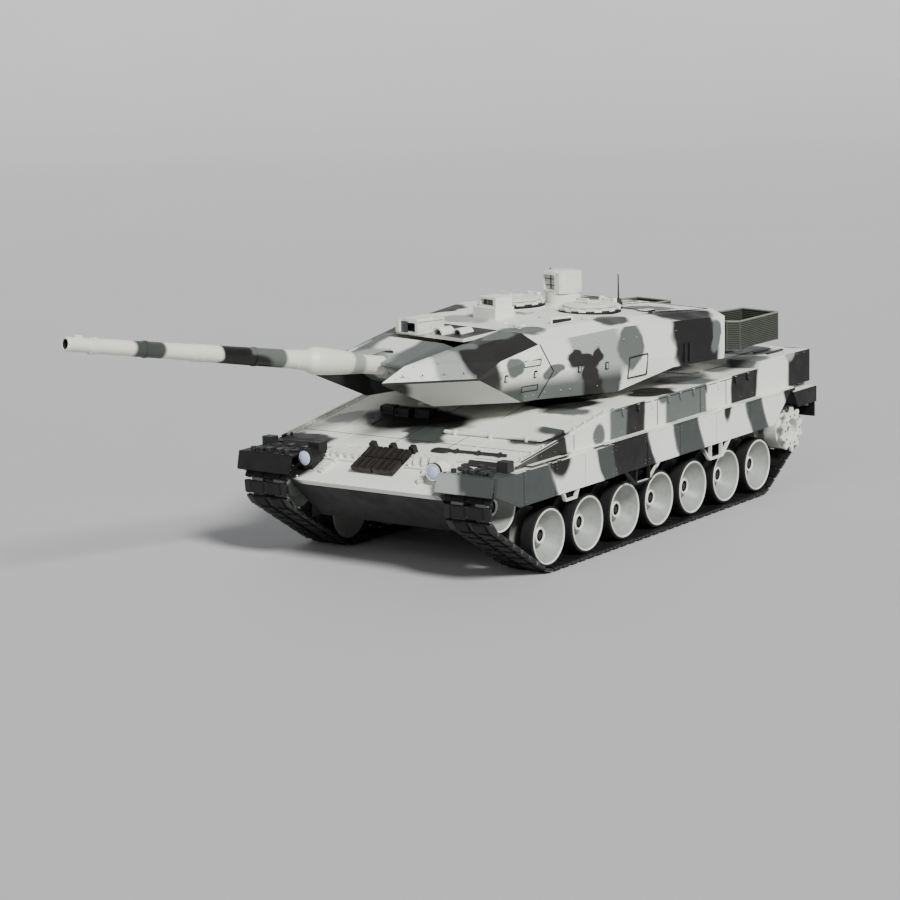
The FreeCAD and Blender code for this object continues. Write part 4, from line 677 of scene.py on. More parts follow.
def belt_line():
    """The track's line as straight runs and arcs: (kind, place, heading, length)."""
    circles = [(WHEEL_X[-1], WHEEL_Z, TYRE_R), (WHEEL_X[0], WHEEL_Z, TYRE_R), IDLER, SPROCKET]
    circles = [(x, z, radius + LINK_MIDDLE) for x, z, radius in circles]
    headings = []
    for (ax, az, ar), (bx, bz, br) in zip(circles, circles[1:] + circles[:1]):
        span = math.hypot(bx - ax, bz - az)
        headings.append(math.atan2(bz - az, bx - ax) + math.asin((ar - br) / span))
    line = []
    for k, (ax, az, ar) in enumerate(circles):
        bx, bz, br = circles[(k + 1) % 4]
        h = headings[k]
        start = (ax + ar * math.sin(h), az - ar * math.cos(h))
        end = (bx + br * math.sin(h), bz - br * math.cos(h))
        line.append(("run", start, h, math.dist(start, end)))
        line.append(("arc", (bx, bz, br), h, ((headings[(k + 1) % 4] - h) % (2 * math.pi)) * br))
    return line


def belt_place(line, distance):
    """Where the belt is, and its heading, at a distance along its line."""
    for kind, place, heading, length in line:
        if distance <= length:
            break
        distance -= length
    if kind == "run":
        return (place[0] + distance * math.cos(heading), place[1] + distance * math.sin(heading),
                heading)
    now = heading + distance / place[2]
    return place[0] + place[2] * math.sin(now), place[1] - place[2] * math.cos(now), now


GUIDE_HORN = ((-2.9, 1.1), (2.9, 1.1), (2.1, 3.2), (1.0, 6.0), (-1.0, 6.0), (-2.1, 3.2))


def link(shape, axes, length):
    """One link: cast body, two rubber pads, tubular pins, end connectors and guide horn."""
    half = length / 2
    for side in BOTH_SIDES:
        shape.side_box(side, -half + 1.0, half - 1.0, 1.6, 14.2, -0.9, 0.9, axes, 0, 0.6)
        y0, y1 = sorted((side * 2.4, side * 13.4))
        pad = [(-half + 1.2, y0), (half - 1.2, y0), (half - 1.2, y1), (-half + 1.2, y1)]
        shape.prism(pad, -1.9, -0.9, axes, 1)
        shape.prism([(px * 0.86, (py - side * 7.9) * 0.9 + side * 7.9) for px, py in pad],
                    -2.2, -1.9, axes, 1)
        shape.side_box(side, -half + 0.6, half - 0.6, 14.4, 19.9, -1.1, 1.1, axes, 0, 1.2)
        for x in (-half + 2.0, half - 2.0):
            for near, far, radius, slot in ((1.0, 20.25, 1.15, 0), (19.6, 20.45, 0.75, 2)):
                shape.rod(axes @ Vector((x, side * near, 0)), axes @ Vector((x, side * far, 0)),
                          radius, 8, slot)
    shape.prism(GUIDE_HORN, -1.6, 1.6, axes @ Matrix.Rotation(math.pi / 2, 4, "X"))
    shape.box(-half + 1.0, half - 1.0, -1.7, 1.7, -0.8, 1.15, axes)


def track(side_name, side):
    line = belt_line()
    total = sum(part[3] for part in line)
    count = int(round(total / LINK_PITCH))
    pitch = total / count
    shape = Shape()
    for k in range(count):
        x, z, heading = belt_place(line, (-WHEEL_X[-1] + k * pitch) % total)
        axes = Matrix.Translation((x, side * TRACK_Y, z)) @ Matrix.Rotation(-heading, 4, "Y")
        link(shape, axes, pitch * LINK_FILL)
    low = min(v.co.z for v in shape.mesh.verts)
    bmesh.ops.translate(shape.mesh, vec=(0, 0, max(0.0, -low)), verts=shape.mesh.verts)
    shape.make("track_belt_" + side_name, HULL, ["track", "pad", "gunmetal"], "hull",
               ["track_" + side_name])


def running_gear():
    for side_name, side in SIDES.items():
        for k, x in enumerate(WHEEL_X, 1):
            wheel(f"wheel_{side_name}_{k}", (x, WHEEL_Z, RIM_R), f"{side_name}_wheel_{k}",
                  f"road_wheel_{side_name}_{k}", side, True)
        wheel("idler_wheel_" + side_name, IDLER, side_name + "_idler", "idler_" + side_name,
              side, False)
        sprocket(side_name, side)
        track(side_name, side)


# ---------------------------------------------------------------- hull details
SKIRT_SEAMS = (-125.0, -71.0, -15.0, 33.0, 80.4, 120.8, 160.8, 200.7)
SKIRT_Y = 116.2
FRONT_SKIRT_Y = 117.0
SPONSON_Y = 110.0
FENDER_Z = 82.6
STERN_X = -240.4
GLACIS_SLOPE = 20.9 / 130.4
GLACIS_NORMAL = (GLACIS_SLOPE, 0, 1)


def deck_height(x):
    if x > 69.0:
        return 85.4 + (199.4 - x) * GLACIS_SLOPE
    return 106.3 if x > -152.0 else 111.6


def skirt_details():
    """Screws at the corners of every skirt panel and hinge clips above."""
    bolts = Shape()
    clips = Shape()
    for side in BOTH_SIDES:
        for x0, x1 in zip(SKIRT_SEAMS[:-1], SKIRT_SEAMS[1:]):
            face = FRONT_SKIRT_Y if x0 > 80.0 else SKIRT_Y
            for x in (x0 + 3.0, x1 - 3.0):
                for z in (79.6, 77.0, 62.5, 60.2):
                    bolts.bolt((x, side * face, z), (0, side, 0), 0.65, 0.35)
            for x in ((x0 + x1) / 2 - 14.0, (x0 + x1) / 2 + 14.0):
                clips.side_box(side, x - 2.2, x + 2.2, face - 1.0, face + 0.35, 80.4, 83.3,
                               chamfer=0.5)
        for x in (205.0, 216.0, 228.0):
            bolts.bolt((x, side * FRONT_SKIRT_Y, 79.5), (0, side, 0), 0.65, 0.35)
    bolts.make("skirt_screws", HULL, ["hull"], "hull")
    clips.make("skirt_clips", HULL, ["hull"], "hull", bevel=0.15)


def sponson_details():
    """Stowage bin lids along the hull side: seams, latches, hinges and edge screws."""
    seams = Shape()
    latches = Shape()
    for side in BOTH_SIDES:
        lines = [(x - 0.45, x + 0.45, 85.0, deck_height(x) - 1.5)
                 for x in (125.0, 8.0, -56.5, -97.0, -144.0)]
        lines += [(x0, x1, 104.2, 104.8) for x0, x1 in ((-143.0, -57.0), (-56.0, 7.5), (8.5, 68.0))]
        for x0, x1, z0, z1 in lines:
            seams.side_box(side, x0, x1, SPONSON_Y - 0.4, SPONSON_Y + 0.06, z0, z1)
        for x in (-132.0, -112.0, -84.0, -66.0, -46.0, -26.0, -8.0, 16.0, 36.0, 58.0):
            latches.side_box(side, x - 1.6, x + 1.6, SPONSON_Y, SPONSON_Y + 1.2, 101.6, 105.4,
                             chamfer=0.4)
            latches.side_box(side, x - 0.8, x + 0.8, SPONSON_Y, SPONSON_Y + 1.2, 99.2, 101.6)
        screws = [(x, 108.6, 0.8, 0.45) for x in range(-228, -148, 12)]
        screws += [(x, 87.2, 0.7, 0.4) for x in (*range(-140, 61, 20), 84, 96, 112, 132, 150, 168)]
        screws += [(x, deck_height(x) - 2.4, 0.7, 0.4) for x in (91.0, 100.0, 121.0, 129.0, 139.0)]
        for x, z, radius, height in screws:
            latches.bolt((x, side * SPONSON_Y, z), (0, side, 0), radius, height)
    seams.make("side_seams", HULL, ["dark"], "hull")
    latches.make("side_latches", HULL, ["hull"], "hull", bevel=0.12)


def tilt_to_glacis(x, y):
    """Axes on the sloped front plate: X down the slope, Z away from the plate."""
    turn = Matrix.Rotation(math.atan(GLACIS_SLOPE), 4, "Y")
    return Matrix.Translation((x, y, deck_height(x))) @ turn


COVER_OUTLINE = ((150.3, 33.7), (150.3, 98.3), (127.9, 104.4), (117.7, 39.8))


def deck_details():
    """Weld beads, plate seams, screws and stowed tools on the front of the hull."""
    beads = Shape()
    for y in (57.0, -57.0):
        for k in range(30):
            x = 134.0 + k * 1.9
            beads.bolt((x, y, deck_height(x)), GLACIS_NORMAL, 0.9, 0.4)
    for y in (98.0, 64.0, -66.0, -98.0):
        for x in range(78, 191, 14):
            beads.bolt((x, y, deck_height(x)), GLACIS_NORMAL, 0.9, 0.5)
    beads.make("deck_beads", HULL, ["hull"], "hull")
    seams = Shape()
    for x in (192.0, 170.5):
        seams.box(-0.35, 0.35, -104, 104, -0.2, 0.06, tilt_to_glacis(x, 0))
    for y in (104.6, -104.6, 36.0, -12.0):
        seams.box(-58.0, 58.0, -0.3, 0.3, -0.2, 0.06, tilt_to_glacis(134.0, y))
    corners = [Vector((x, y, deck_height(x) + 0.5)) for x, y in COVER_OUTLINE]
    for start, end in zip(corners, corners[1:] + corners[:1]):
        seams.rod(start, end, 0.45, 6)
    seams.make("deck_seams", HULL, ["dark"], "hull")
    # a long bar and a shovel clamped across the left of the plate
    tools = Shape()
    skew = 2.0
    for y0, y1, x, radius, tone in ((14.0, 96.0, 152.0, 1.5, 2), (44.0, 92.0, 187.0, 1.2, 0)):
        lift = radius + 0.3
        tools.rod((x, y0, deck_height(x) + lift), (x - skew, y1, deck_height(x - skew) + lift),
                  radius, 12, tone)
        for part in (0.12, 0.5, 0.88):
            clamp = tilt_to_glacis(x - skew * part, y0 + (y1 - y0) * part)
            tools.box(-2.2, 2.2, -1.2, 1.2, 0.0, radius * 2 + 0.7, clamp, tone, 0.5)
    tools.box(-4.5, 4.5, -7.5, 7.5, 0.4, 1.6, tilt_to_glacis(187.0, 36.0), 0, 2.0)
    tools.make("deck_tools", HULL, ["gunmetal", "black", "white"], "hull",
               bevel=0.2)


def nose_details():
    """Ribs, clamps and screws on the nose plate, round the spare track pads."""
    fall, run = 20.5, 44.0
    plate = (Matrix.Translation((192.0, 0, 87.0))
             @ Matrix.Rotation(math.atan2(fall, run), 4, "Y"))
    racks = Shape()
    for side in BOTH_SIDES:
        for y in (22.5, 52.5):
            racks.box(5.0, 19.0, side * y - 0.8, side * y + 0.8, 0.0, 2.6, plate, 0, 0.3)
        for x in (3.4, 20.4):
            racks.side_box(side, x, x + 1.3, 22.0, 53.0, 0.0, 1.6, plate, 0, 0.3)
        for y in (24.0, 34.0, 44.0, 54.0, 62.0):
            racks.bolt(plate @ Vector((44.5, side * y, 0)), (fall, 0, run), 0.8, 0.5)
    for y in range(-60, 61, 12):
        racks.bolt(plate @ Vector((46.8, y, 0)), (fall, 0, run), 0.7, 0.4)
    racks.make("nose_racks", HULL, ["white"], "hull", bevel=0.15)
    straps = Shape()
    for y in (-9.6, 9.6):
        for x in (12.5, 26.5):
            for k in (-5.5, 0.0, 5.5):
                straps.box(x - 5.4, x + 5.4, y + k - 0.8, y + k + 0.8, 5.5, 6.3, plate, 0, 0.3)
            straps.rod(plate @ Vector((x, y - 9.6, 3.4)), plate @ Vector((x, y + 9.6, 3.4)),
                       1.3, 10)
    straps.make("spare_pad_ribs", HULL, ["brown"], "hull", bevel=0.2)


def fender_details():
    """Rods, clamps, screws and small boxes on the front fenders."""
    gear = Shape()
    for side in BOTH_SIDES:
        for k, (x, y) in enumerate(((208.0, 72.0), (208.0, 86.0), (224.0, 84.0), (226.0, 92.0))):
            gear.box(x - 3.0, x + 3.0, side * y - 2.2, side * y + 2.2, FENDER_Z,
                     85.4 + 0.5 * (k % 2), chamfer=0.7)
        for y in (70.0, 82.0, 97.0, 110.0):
            gear.bolt((230.0, side * y, FENDER_Z), UP, 1.1, 0.7)
        for y0, y1, radius in ((100.0, 103.0, 1.2), (97.0, 98.5, 1.0)):
            gear.rod((206.0, side * y0, 84.4), (229.0, side * y1, 84.4), radius, 10)
        gear.box(213.0, 216.5, side * 99.6 - 3.6, side * 99.6 + 3.6, FENDER_Z, 86.2, chamfer=0.6)
    gear.make("fender_gear", HULL, ["gunmetal"], "hull", bevel=0.15)


def lamp_details():
    """Reflector bowls behind the clear lenses, and their clamp rings."""
    bowls = Shape()
    bowl = [(0.8, 225.1), (3.0, 225.3), (5.2, 227.4), (5.35, 228.0), (5.0, 228.0), (2.8, 225.6),
            (0.8, 225.4)]
    clamp = [(6.45, 225.6), (6.9, 225.8), (6.9, 227.6), (6.45, 227.9)]
    for side in BOTH_SIDES:
        axes = Matrix.Translation((0, side * 58.0, 81.2)) @ along_x()
        for slot, profile in enumerate((bowl, clamp)):
            bowls.lathe(profile, axes, 32, slot)
    bowls.make("lamp_bowls", HULL, ["chrome", "black"], "hull")


def rear_details():
    """Tail lamps' lenses, mesh bars over the exhaust grilles, and stern screws."""
    stern = Shape()
    lamps = Shape()
    for side in BOTH_SIDES:
        for k in range(-4, 5):
            aside = k * 2.9
            reach = math.sqrt(max(13.2 ** 2 - aside ** 2, 1.0))
            y = side * 62.0 + aside
            stern.rod((STERN_X + 0.1, y, 90.5 - reach), (STERN_X + 0.1, y, 90.5 + reach), 0.45, 8)
        for y in (20.0, 34.0, 80.0, 100.0):
            for z in (103.0, 83.0):
                stern.bolt((STERN_X, side * y, z), (-1, 0, 0), 1.0, 0.6)
        for y in (89.0, 95.0):
            lamps.bolt((STERN_X - 2.2, side * y, 90.5), (-1, 0, 0), 2.2, 0.9)
    stern.make("stern_details", HULL, ["gunmetal"], "hull")
    lamps.make("tail_lenses", HULL, ["lens"], "hull")


# ---------------------------------------------------------------- turret details
CREASE_Z = 133.5
COMMANDER = (3.0, -29.0)
LOADER = (-18.0, 36.0)


def side_half(x, z):
    """Half-width of the turret's wall at a place on it: it leans in below the crease."""
    if x > 80.0:
        upper = 78.5 - (27.15 * (x - 139.5) + 68.0 * (z - 136.0)) / 192.95
        lower = 80.0 - 2.07 * (x - 80.2) / 59.3 + 0.2266 * (z - CREASE_Z)
        return min(upper, lower, 84.0)
    below = max(CREASE_Z - z, 0.0)
    if x > 10.0:
        return 95.0 - (x - 10.0) * 15.0 / 70.0 - 0.22 * below
    part = min((10.0 - x) / 59.0, 1.0)
    return 95.0 - (0.21 * (1.0 - part) + 0.06 * part) * below


def wall_axes(x, z, side):
    """Axes on the turret's side wall: X forward along it, Y up, Z outward."""
    along = side_half(x + 0.5, z) - side_half(x - 0.5, z)
    rise = side_half(x, z + 0.5) - side_half(x, z - 0.5)
    run = Vector((1.0, side * along, 0.0)).normalized()
    out = Vector((-along, side, -rise)).normalized()
    up = out.cross(run).normalized() * side
    return Matrix.Translation((x, side * side_half(x, z), z)) @ axes_of(run, up, out)


def strip(shape, x0, z0, x1, z1, width, proud, side):
    """A thin bar on the side wall between two places."""
    a = Vector((x0, side * side_half(x0, z0), z0))
    b = Vector((x1, side * side_half(x1, z1), z1))
    run = (b - a).normalized()
    aside = Vector((0, side, 0))
    over = run.cross(aside).normalized()
    out = over.cross(run).normalized()
    out = out * (1 if out.dot(aside) > 0 else -1)
    points = []
    for end in (a, b):
        for w, h in ((-1, -0.25), (1, -0.25), (1, proud), (-1, proud)):
            points.append(end + over * (w * width / 2) + out * h)
    shape.add(points, [(0, 1, 2, 3), (7, 6, 5, 4), (0, 4, 5, 1), (1, 5, 6, 2), (2, 6, 7, 3),
                       (3, 7, 4, 0)])


MODULE_SEAMS = (((80.0, 155.3, 68.5, 134.0), 0.9, 0.12), ((68.5, 134.0, 79.0, 114.5), 0.9, 0.12),
                ((12.0, 160.0, 9.0, 114.0), 0.6, 0.10))
SLOTS = ((81.0, 97.0, 140.0, 144.5), (81.0, 97.0, 121.0, 125.0))
SIDE_HATCH = ((0, 121, -20, 122), (0, 137, -20, 138), (0, 121, 0, 137), (-20, 122, -20, 138))


def turret_side_details():
    """Module seams, slots, latches, hatch frame, louvres and screws on the side walls."""
    seams = Shape()
    plates = Shape()
    lines = list(MODULE_SEAMS)
    for x0, x1, z0, z1 in SLOTS:
        for line in ((x0, z0, x1, z0), (x0, z1, x1, z1), (x0, z0, x0, z1), (x1, z0, x1, z1)):
            lines.append((line, 0.7, 0.2))
    lines += [(line, 0.9, 0.5) for line in SIDE_HATCH]
    for side in BOTH_SIDES:
        for line, width, proud in lines:
            strip(seams, *line, width, proud, side)
        for x in (85.0, 114.0, 46.0, 22.0):
            place = wall_axes(x, CREASE_Z, side)
            plates.box(-1.5, 1.5, -2.8, 2.8, -0.3, 0.6, place, 2, 0.4)
            plates.box(-0.7, 0.9, -1.9, 1.9, 0.5, 1.2, place, 0, 0.3)
        for x in (-62.0, -67.5):
            plates.box(-1.3, 1.3, -7.5, 7.5, -0.3, 1.2, wall_axes(x, CREASE_Z, side), 2, 0.5)
        for x in (92, 84, 74, 60, 52, 28, 6, -8, -40, -52, -78, -90):
            for z in (151.5, 118.0 if x > 0 else 128.0):
                place = wall_axes(x, z, side)
                plates.bolt(place.translation, place.to_3x3() @ UP, 0.75, 0.45)
    seams.make("turret_seams", TURRET, ["dark"], "turret")
    plates.make("turret_side_fittings", TURRET, ["turret", "white", "black"], "turret",
                bevel=0.12)


def wedge_details():
    """Clamps along the arrow-shaped armour's ridge and lifting eyes on its top."""
    clamps = Shape()
    for side in BOTH_SIDES:
        tip = Vector((199.0, side * 38.0, 136.8))
        edge = Vector((139.5, side * 78.5, 136.8)) - tip
        run = edge.normalized()
        normal = edge.cross(Vector((161.0, side * 38.0, 153.4)) - tip).normalized() * side
        inward = normal.cross(run).normalized() * side
        for part in (0.22, 0.42, 0.64, 0.84):
            place = (Matrix.Translation(tip + edge * part + inward * 5.0)
                     @ axes_of(run, inward, normal))
            clamps.box(-1.7, 1.7, -0.9, 0.9, -0.2, 0.7, place, 0, 0.5)
            clamps.box(-0.4, 0.4, -0.6, 1.0, 0.6, 1.0, place, 1, 0.1)
        for part, inset in ((0.35, 15.0), (0.6, 17.0)):
            clamps.bolt(tip + edge * part + inward * inset, normal, 1.1, 0.6)
    clamps.make("wedge_clamps", TURRET, ["turret", "black"], "turret", bevel=0.12)


BASKET_OUTLINE = ((-124.0, 40.0), (-124.0, 83.0), (-130.2, 91.2), (-191.0, 78.2), (-191.0, 40.0))
BASKET_RIBS = 15


def baskets():
    """Two open baskets behind the turret: posts, closely set ribs, rims, flat floors, and a dark
    sheet between each side's ribs as painted shade.
    """
    shape = Shape()
    low, top = 127.8, 151.0
    for side in BOTH_SIDES:
        corners = [Vector((x, side * y, 0)) for x, y in BASKET_OUTLINE]
        for start, end in zip(corners, corners[1:] + corners[:1]):
            run = (end - start).normalized()
            axes = (Matrix.Translation(start + UP * ((low + top) / 2))
                    @ axes_of(run, UP, run.cross(UP)))
            # a near-black sheet between the ribs: painted shade inside the basket
            shape.box(0.0, (end - start).length, -11.2, 11.2, -0.3, 0.3, axes, 2)
            for k in range(BASKET_RIBS):
                rib = UP * (low + 1.2 + (top - low - 2.8) * k / (BASKET_RIBS - 1))
                shape.rod(start + rib, end + rib, 0.55, 6)
            rim = UP * (top - 0.8)
            shape.rod(start + rim, end + rim, 0.8, 8, 1)
            shape.rod(start + UP * low, start + UP * (top - 0.4), 0.8, 8)
        centre = sum(corners, Vector()) / len(corners)
        plane = [(c.x, c.y) for c in (centre + (c - centre) * 0.985 for c in corners)]
        shape.prism(plane, low + 0.3, low + 1.2)
        for y in (48.0, 72.0):
            shape.side_box(side, -124.4, -121.0, y - 2.0, y + 2.0, 132.0, 149.0, chamfer=0.5)
    shape.make("basket_frames", TURRET, ["olive", "rim", "dark"], "turret",
               ["stowage_baskets"])


def hatch_details():
    """Dark vision blocks round both hatch rings, and handles on the lids."""
    blocks = Shape()
    for place, radius, base in ((COMMANDER, 25.5, 167.4), (LOADER, 24.0, 165.2)):
        ring = Matrix.Translation((*place, base))
        skirt = [(radius - 1.0, 0.4), (radius + 0.2, 0.4), (radius + 0.2, 2.6), (radius - 1.0, 2.6)]
        blocks.lathe(skirt, ring, 64, 2)
        for k in range(12):
            turn = ring @ Matrix.Rotation(2 * math.pi * (k + 0.5) / 12, 4, "Z")
            blocks.box(radius - 3.6, radius - 0.3, -3.6, 3.6, 0.6, 4.2, turn, 0, 0.3)
            blocks.box(radius - 3.0, radius + 0.4, -3.8, 3.8, 4.4, 5.2, turn, 1, 0.6)
    blocks.make("vision_blocks", TURRET, ["window", "white", "dark"], "turret")
    for name, (x, y), top, radius in (("commander", COMMANDER, 175.3, 22.5),
                                      ("loader", LOADER, 173.1, 21.0)):
        lid = Shape()
        lid.bolt_circle(Matrix.Translation((x, y, 0)), 8, 0.5, radius - 5.5, top - 0.5, 0.8, 0.5)
        grip = top + 3.4
        for side in BOTH_SIDES:
            foot = y + side * 6.0
            lid.rod((x + 8.0, foot, top - 0.4), (x + 8.0, foot, grip), 0.8)
        lid.rod((x + 8.0, y - 6.6, grip), (x + 8.0, y + 6.6, grip), 0.8)
        lid.lathe([(0, top), (6.5, top - 0.1), (7.0, top + 0.4), (6.4, top + 0.9), (0, top + 1.1)],
                  Matrix.Translation((x - 2.0, y, 0)), 32, closed=False)
        lid.make(name + "_lid_details", TURRET, ["white"], name + "_lid")


def sight_details():
    """Windows, hoods and screws on the sights, and the aerials' whips."""
    glasses = Shape()
    for box in ((121.2, 122.4, -21.9, -7.1, 161.7, 168.5), (47.6, 48.6, -12.9, 0.9, 174.7, 179.3),
                (126.0, 126.3, -22.4, -15.0, 161.0, 169.4)):
        glasses.box(*box)
    for x, y, radius in ((113.0, 8.0, 4.2), (103.0, 19.0, 3.4)):
        glasses.lathe([(0, 0), (radius, 0), (radius, 0.3), (0, 0.3)],
                      Matrix.Translation((x, y, 160.2)) @ along_x(), 32, closed=False)
    glasses.make("fixed_sight_windows", TURRET, ["window"], "turret")
    frames = Shape()
    for y in (-25.4, -3.6):
        frames.box(100.0, 125.5, y - 0.4, y + 0.4, 169.4, 171.0, chamfer=0.2)
    for xs, ys, z in (((102, 113, 124), (-24, -5), 170.6), ((36.5, 51), (-14.5, 2.5), 181.0)):
        for x in xs:
            for y in ys:
                frames.bolt((x, y, z), UP)
    frames.box(34.4, 53.6, -19.6, -17.6, 172.8, 174.4, chamfer=0.4)
    frames.make("sight_frames", TURRET, ["white"], "turret", bevel=0.12)
    head = Shape()
    pane = (-22.2, -11.0, 178.6, 189.6)
    head.box(-28.8, -27.6, *pane)
    for z in (177.6, 190.6):
        head.box(-28.6, -24.8, -23.4, -9.8, z - 0.5, z + 0.5, None, 1, 0.3)
    head.bolt_circle(Matrix.Translation((-38.0, -14.0, 0)), 6, 0, 8.6, 193.0, 0.8, 0.4, slot=1)
    for z in (181.6, 186.6):
        head.box(-27.8, -27.3, -22.2, -11.0, z - 0.25, z + 0.25, None, 2)
    head.box(-27.8, -27.3, -17.0, -16.2, 178.6, 189.6, None, 2)
    head.make("panorama_window", TURRET, ["pale", "white", "dark"], "panorama_head")
    whips = Shape()
    for y in AERIAL_Y:
        for z0, z1, radius, count, tip in ((168.0, 190.8, 0.75, 10, 0.45),
                                           (164.0, 171.6, 2.1, 14, 1.4)):
            whips.rod((AERIAL_X, y, z0), (AERIAL_X, y, z1), radius, count, 0, tip)
    whips.make("aerial_whips", TURRET, ["black"], "turret")


def roof_height(x):
    if x > 10.0:
        return 167.0 - (x - 10.0) * 4.7 / 70.0
    if x > -49.0:
        return 163.9 + (x + 49.0) * 3.1 / 59.0
    return 160.0 + (x + 121.0) * 3.9 / 72.0


def roof_details():
    """Blow-off panel seams, screws, lifting eyes and small covers on the turret roof."""
    seams = Shape()
    covers = Shape()
    x0, x1 = -116, -62
    for y0, y1 in ((6, 70), (-70, -6)):
        for a, b in (((x0, y0), (x1, y0)), ((x0, y1), (x1, y1)), ((x0, y0), (x0, y1)),
                     ((x1, y0), (x1, y1))):
            seams.rod((*a, roof_height(a[0]) + 0.1), (*b, roof_height(b[0]) + 0.1), 0.35, 6)
        for k in range(6):
            x = x0 + 4 + (x1 - x0 - 8) * k / 5
            for y in (y0 + 3, y1 - 3):
                covers.bolt((x, y, roof_height(x)), UP, 0.9, 0.5)
    for x, y in ((68, 46), (68, -52), (20, 66), (-50, -70), (-50, 70), (30, 30), (60, 22)):
        covers.bolt((x, y, roof_height(x)), UP, 2.0, 1.2)
        covers.bolt((x, y, roof_height(x) + 1.0), UP, 1.1, 0.9)
    for x, y, sx, sy in ((62, 38, 6, 5), (22, 4, 5, 7), (-58, 58, 6, 5), (74, -40, 4, 8)):
        covers.box(x - sx, x + sx, y - sy, y + sy, roof_height(x + sx) - 0.5,
                   roof_height(x) + 1.5, chamfer=1.0)
    # a dark strip painted as the shade in the pocket behind the roof's grab handle
    run = Vector((-18.0, 4.0, 0.0)).normalized()
    turn = axes_of(run, Vector((-run.y, run.x, 0.0)), UP)
    seams.box(0.8, 17.6, -0.3, 0.3, 163.2, 167.6, Matrix.Translation((45.0, 57.0, 0)) @ turn)
    seams.make("roof_seams_and_shade", TURRET, ["dark"], "turret")
    covers.make("roof_covers", TURRET, ["turret"], "turret", bevel=0.15)


def gun_details():
    """Clamp bands and screws on the thermal sleeve, the muzzle reference block and the bore."""
    bands = Shape()
    turn = Matrix.Translation((0, 0, TRUNNION.z)) @ along_x()
    for x, radius in ((249.5, 7.15), (289.0, 6.72), (342.5, 6.2), (384.0, 5.85)):
        bands.lathe([(radius - 0.4, x - 1.3), (radius + 0.2, x - 1.2), (radius + 0.2, x + 1.2),
                     (radius - 0.4, x + 1.3)], turn, 40)
        for angle in (0.15, math.pi - 0.15):
            out = Vector((0, math.cos(angle), math.sin(angle)))
            bands.bolt(Vector((x, 0, TRUNNION.z)) + out * radius, out, 0.7, 0.6)
    bands.box(436.5, 442.5, -1.6, 1.6, TRUNNION.z + 4.6, TRUNNION.z + 6.6, chamfer=0.5)
    bands.make("sleeve_bands", GUN, ["gun"], "gun")
    bore = Shape()
    bore.lathe([(2.6, 410.5), (3.55, 410.5), (3.55, 448.9), (2.9, 449.0), (2.6, 448.0)], turn, 32)
    bore.make("bore_liner", GUN, ["dark"], "gun")


# ---------------------------------------------------------------- CAD nodes' finishes
NODE_PAINT = {
    "hull": ("lower_hull", "upper_hull", "driver_hatch", "mudguards", "engine_deck",
             "rear_panel", "side_skirt"),
    "white": ("ice_cleats", "gunner_sight", "panoramic_sight", "commander_hatch",
              "loader_hatch", "sprocket"),
    "black": ("power_switch", "turret_ring", "turret_drive", "swing_arms", "return_roller"),
    "turret": ("turret_shell", "wedge_armour"),
    "lamp": ("headlamp_housings",),
    "lens": ("headlamp_lenses",),
    "brown": ("spare_track_links",),
    "fittings": ("hull_fittings",),
    "blue": ("battery_pack",),
    "green": ("circuit_board",),
    "mantlet": ("mantlet",),
    "gun": ("gun_barrel",),
    "roof": ("turret_fittings",),
    "steel": ("drive_unit",),
}


def paint_nodes():
    for name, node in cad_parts.items():
        for paint, starts in NODE_PAINT.items():
            if name.startswith(starts):
                node.data.materials.clear()
                node.data.materials.append(PAINT[paint])


# ---------------------------------------------------------------- stage, light and camera
def backdrop_line(reach, bend, rise):
    """A floor that turns up smoothly into a wall: (distance away, height) in metres."""
    line = [(-reach, 0.0), (reach / 3, 0.0)]
    steps = 72
    for k in range(1, steps + 1):
        angle = math.pi / 2 * k / steps
        line.append((reach / 3 + bend * math.sin(angle), bend * (1 - math.cos(angle))))
    return line + [(reach / 3 + bend, bend + rise)]


SKY = (0.80, 0.84, 0.92, 1.0)
SKY_POWER = 0.16
# each lamp's name, the direction it stands in, its power and its spread in degrees
LAMPS = (("key", (0.42, 0.85, 0.80), 4.6, 14.0), ("fill", (0.95, -0.10, 0.55), 0.55, 40.0))


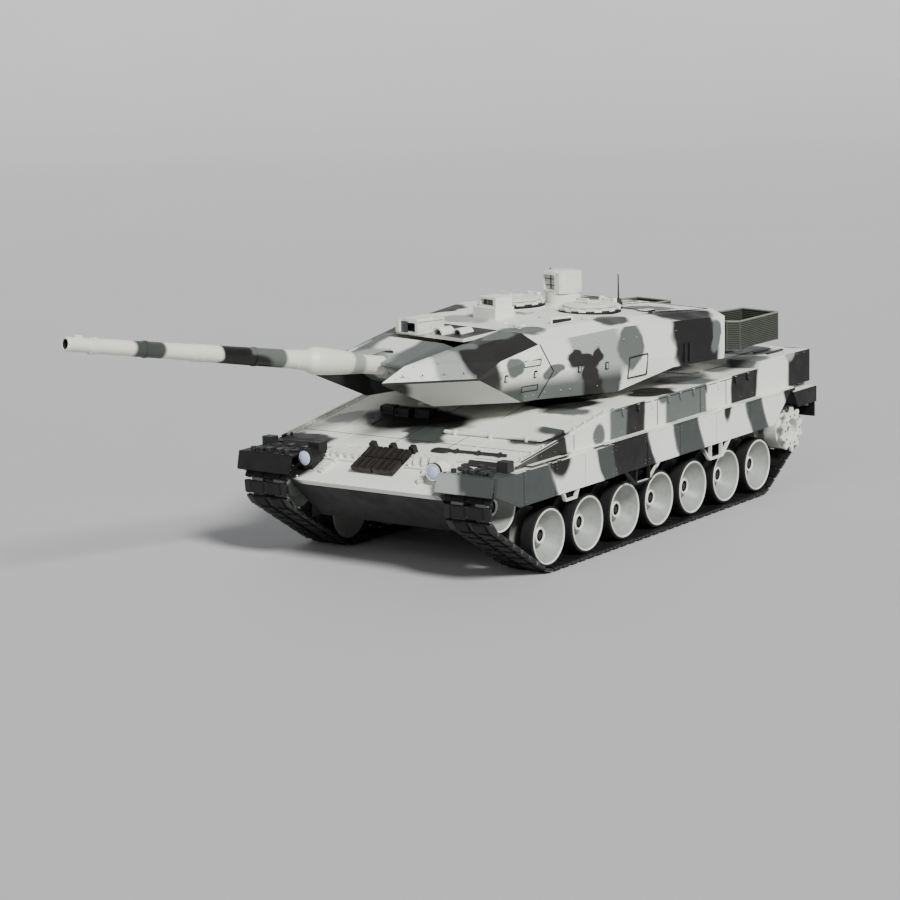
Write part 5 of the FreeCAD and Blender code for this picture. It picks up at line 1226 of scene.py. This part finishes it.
def stage():
    """A pale paper sweep behind the tank, one large soft lamp and a faint fill."""
    away = Vector((math.cos(CAMERA_HEADING), math.sin(CAMERA_HEADING), 0.0))
    across = Vector((-away.y, away.x, 0.0))
    line = backdrop_line(12.0, 3.0, 5.0)
    points = []
    for distance, height in line:
        for width in (-14.0, 14.0):
            points.append(away * distance + across * width + UP * height)
    faces = [(2 * k, 2 * k + 1, 2 * k + 3, 2 * k + 2) for k in range(len(line) - 1)]
    mesh = bpy.data.meshes.new("floor")
    mesh.from_pydata(points, [], faces)
    floor = bpy.data.objects.new("floor", mesh)
    bpy.context.scene.collection.objects.link(floor)
    tree = Tree("pale_floor", 0.85)
    shade = tree.mix(tree.noise(tree.place, 3.0), (0.50, 0.50, 0.50), (0.53, 0.53, 0.53))
    tree.put(tree.shader.inputs["Base Color"], shade)
    mesh.materials.append(tree.material)
    world = bpy.data.worlds.new("studio")
    bpy.context.scene.world = world
    world.use_nodes = True
    sky = world.node_tree.nodes["Background"]
    sky.inputs["Color"].default_value = SKY
    sky.inputs["Strength"].default_value = SKY_POWER
    for name, toward, power, spread in LAMPS:
        lamp = bpy.data.lights.new(name, "SUN")
        lamp.energy = power
        lamp.angle = math.radians(spread)
        holder = bpy.data.objects.new(name, lamp)
        holder.rotation_euler = Vector(toward).to_track_quat("Z", "Y").to_euler()
        bpy.context.scene.collection.objects.link(holder)


CAMERA_PLACE = Vector((1663.8, 1111.3, 429.7))
CAMERA_DIP = math.radians(10.58)
CAMERA_LEAN = math.radians(-1.42)
CAMERA_LENS = 102.9


def camera():
    """The camera stands ahead and to the left, a little above the turret."""
    look = Vector((math.cos(CAMERA_HEADING) * math.cos(CAMERA_DIP),
                   math.sin(CAMERA_HEADING) * math.cos(CAMERA_DIP), -math.sin(CAMERA_DIP)))
    right = look.cross(UP).normalized()
    up = right.cross(look)
    tilted_right = right * math.cos(CAMERA_LEAN) + up * math.sin(CAMERA_LEAN)
    tilted_up = up * math.cos(CAMERA_LEAN) - right * math.sin(CAMERA_LEAN)
    data = bpy.data.cameras.new("camera")
    data.sensor_width = 36.0
    data.lens = CAMERA_LENS
    holder = bpy.data.objects.new("camera", data)
    holder.matrix_world = (Matrix.Translation(HULL @ CAMERA_PLACE)
                           @ axes_of(tilted_right, tilted_up, -look))
    bpy.context.scene.collection.objects.link(holder)
    bpy.context.scene.camera = holder


paint_nodes()
for make_details in (running_gear, skirt_details, sponson_details, deck_details, nose_details,
                     fender_details, lamp_details, rear_details, turret_side_details,
                     wedge_details, baskets, hatch_details, sight_details, roof_details,
                     gun_details, stage, camera):
    make_details()
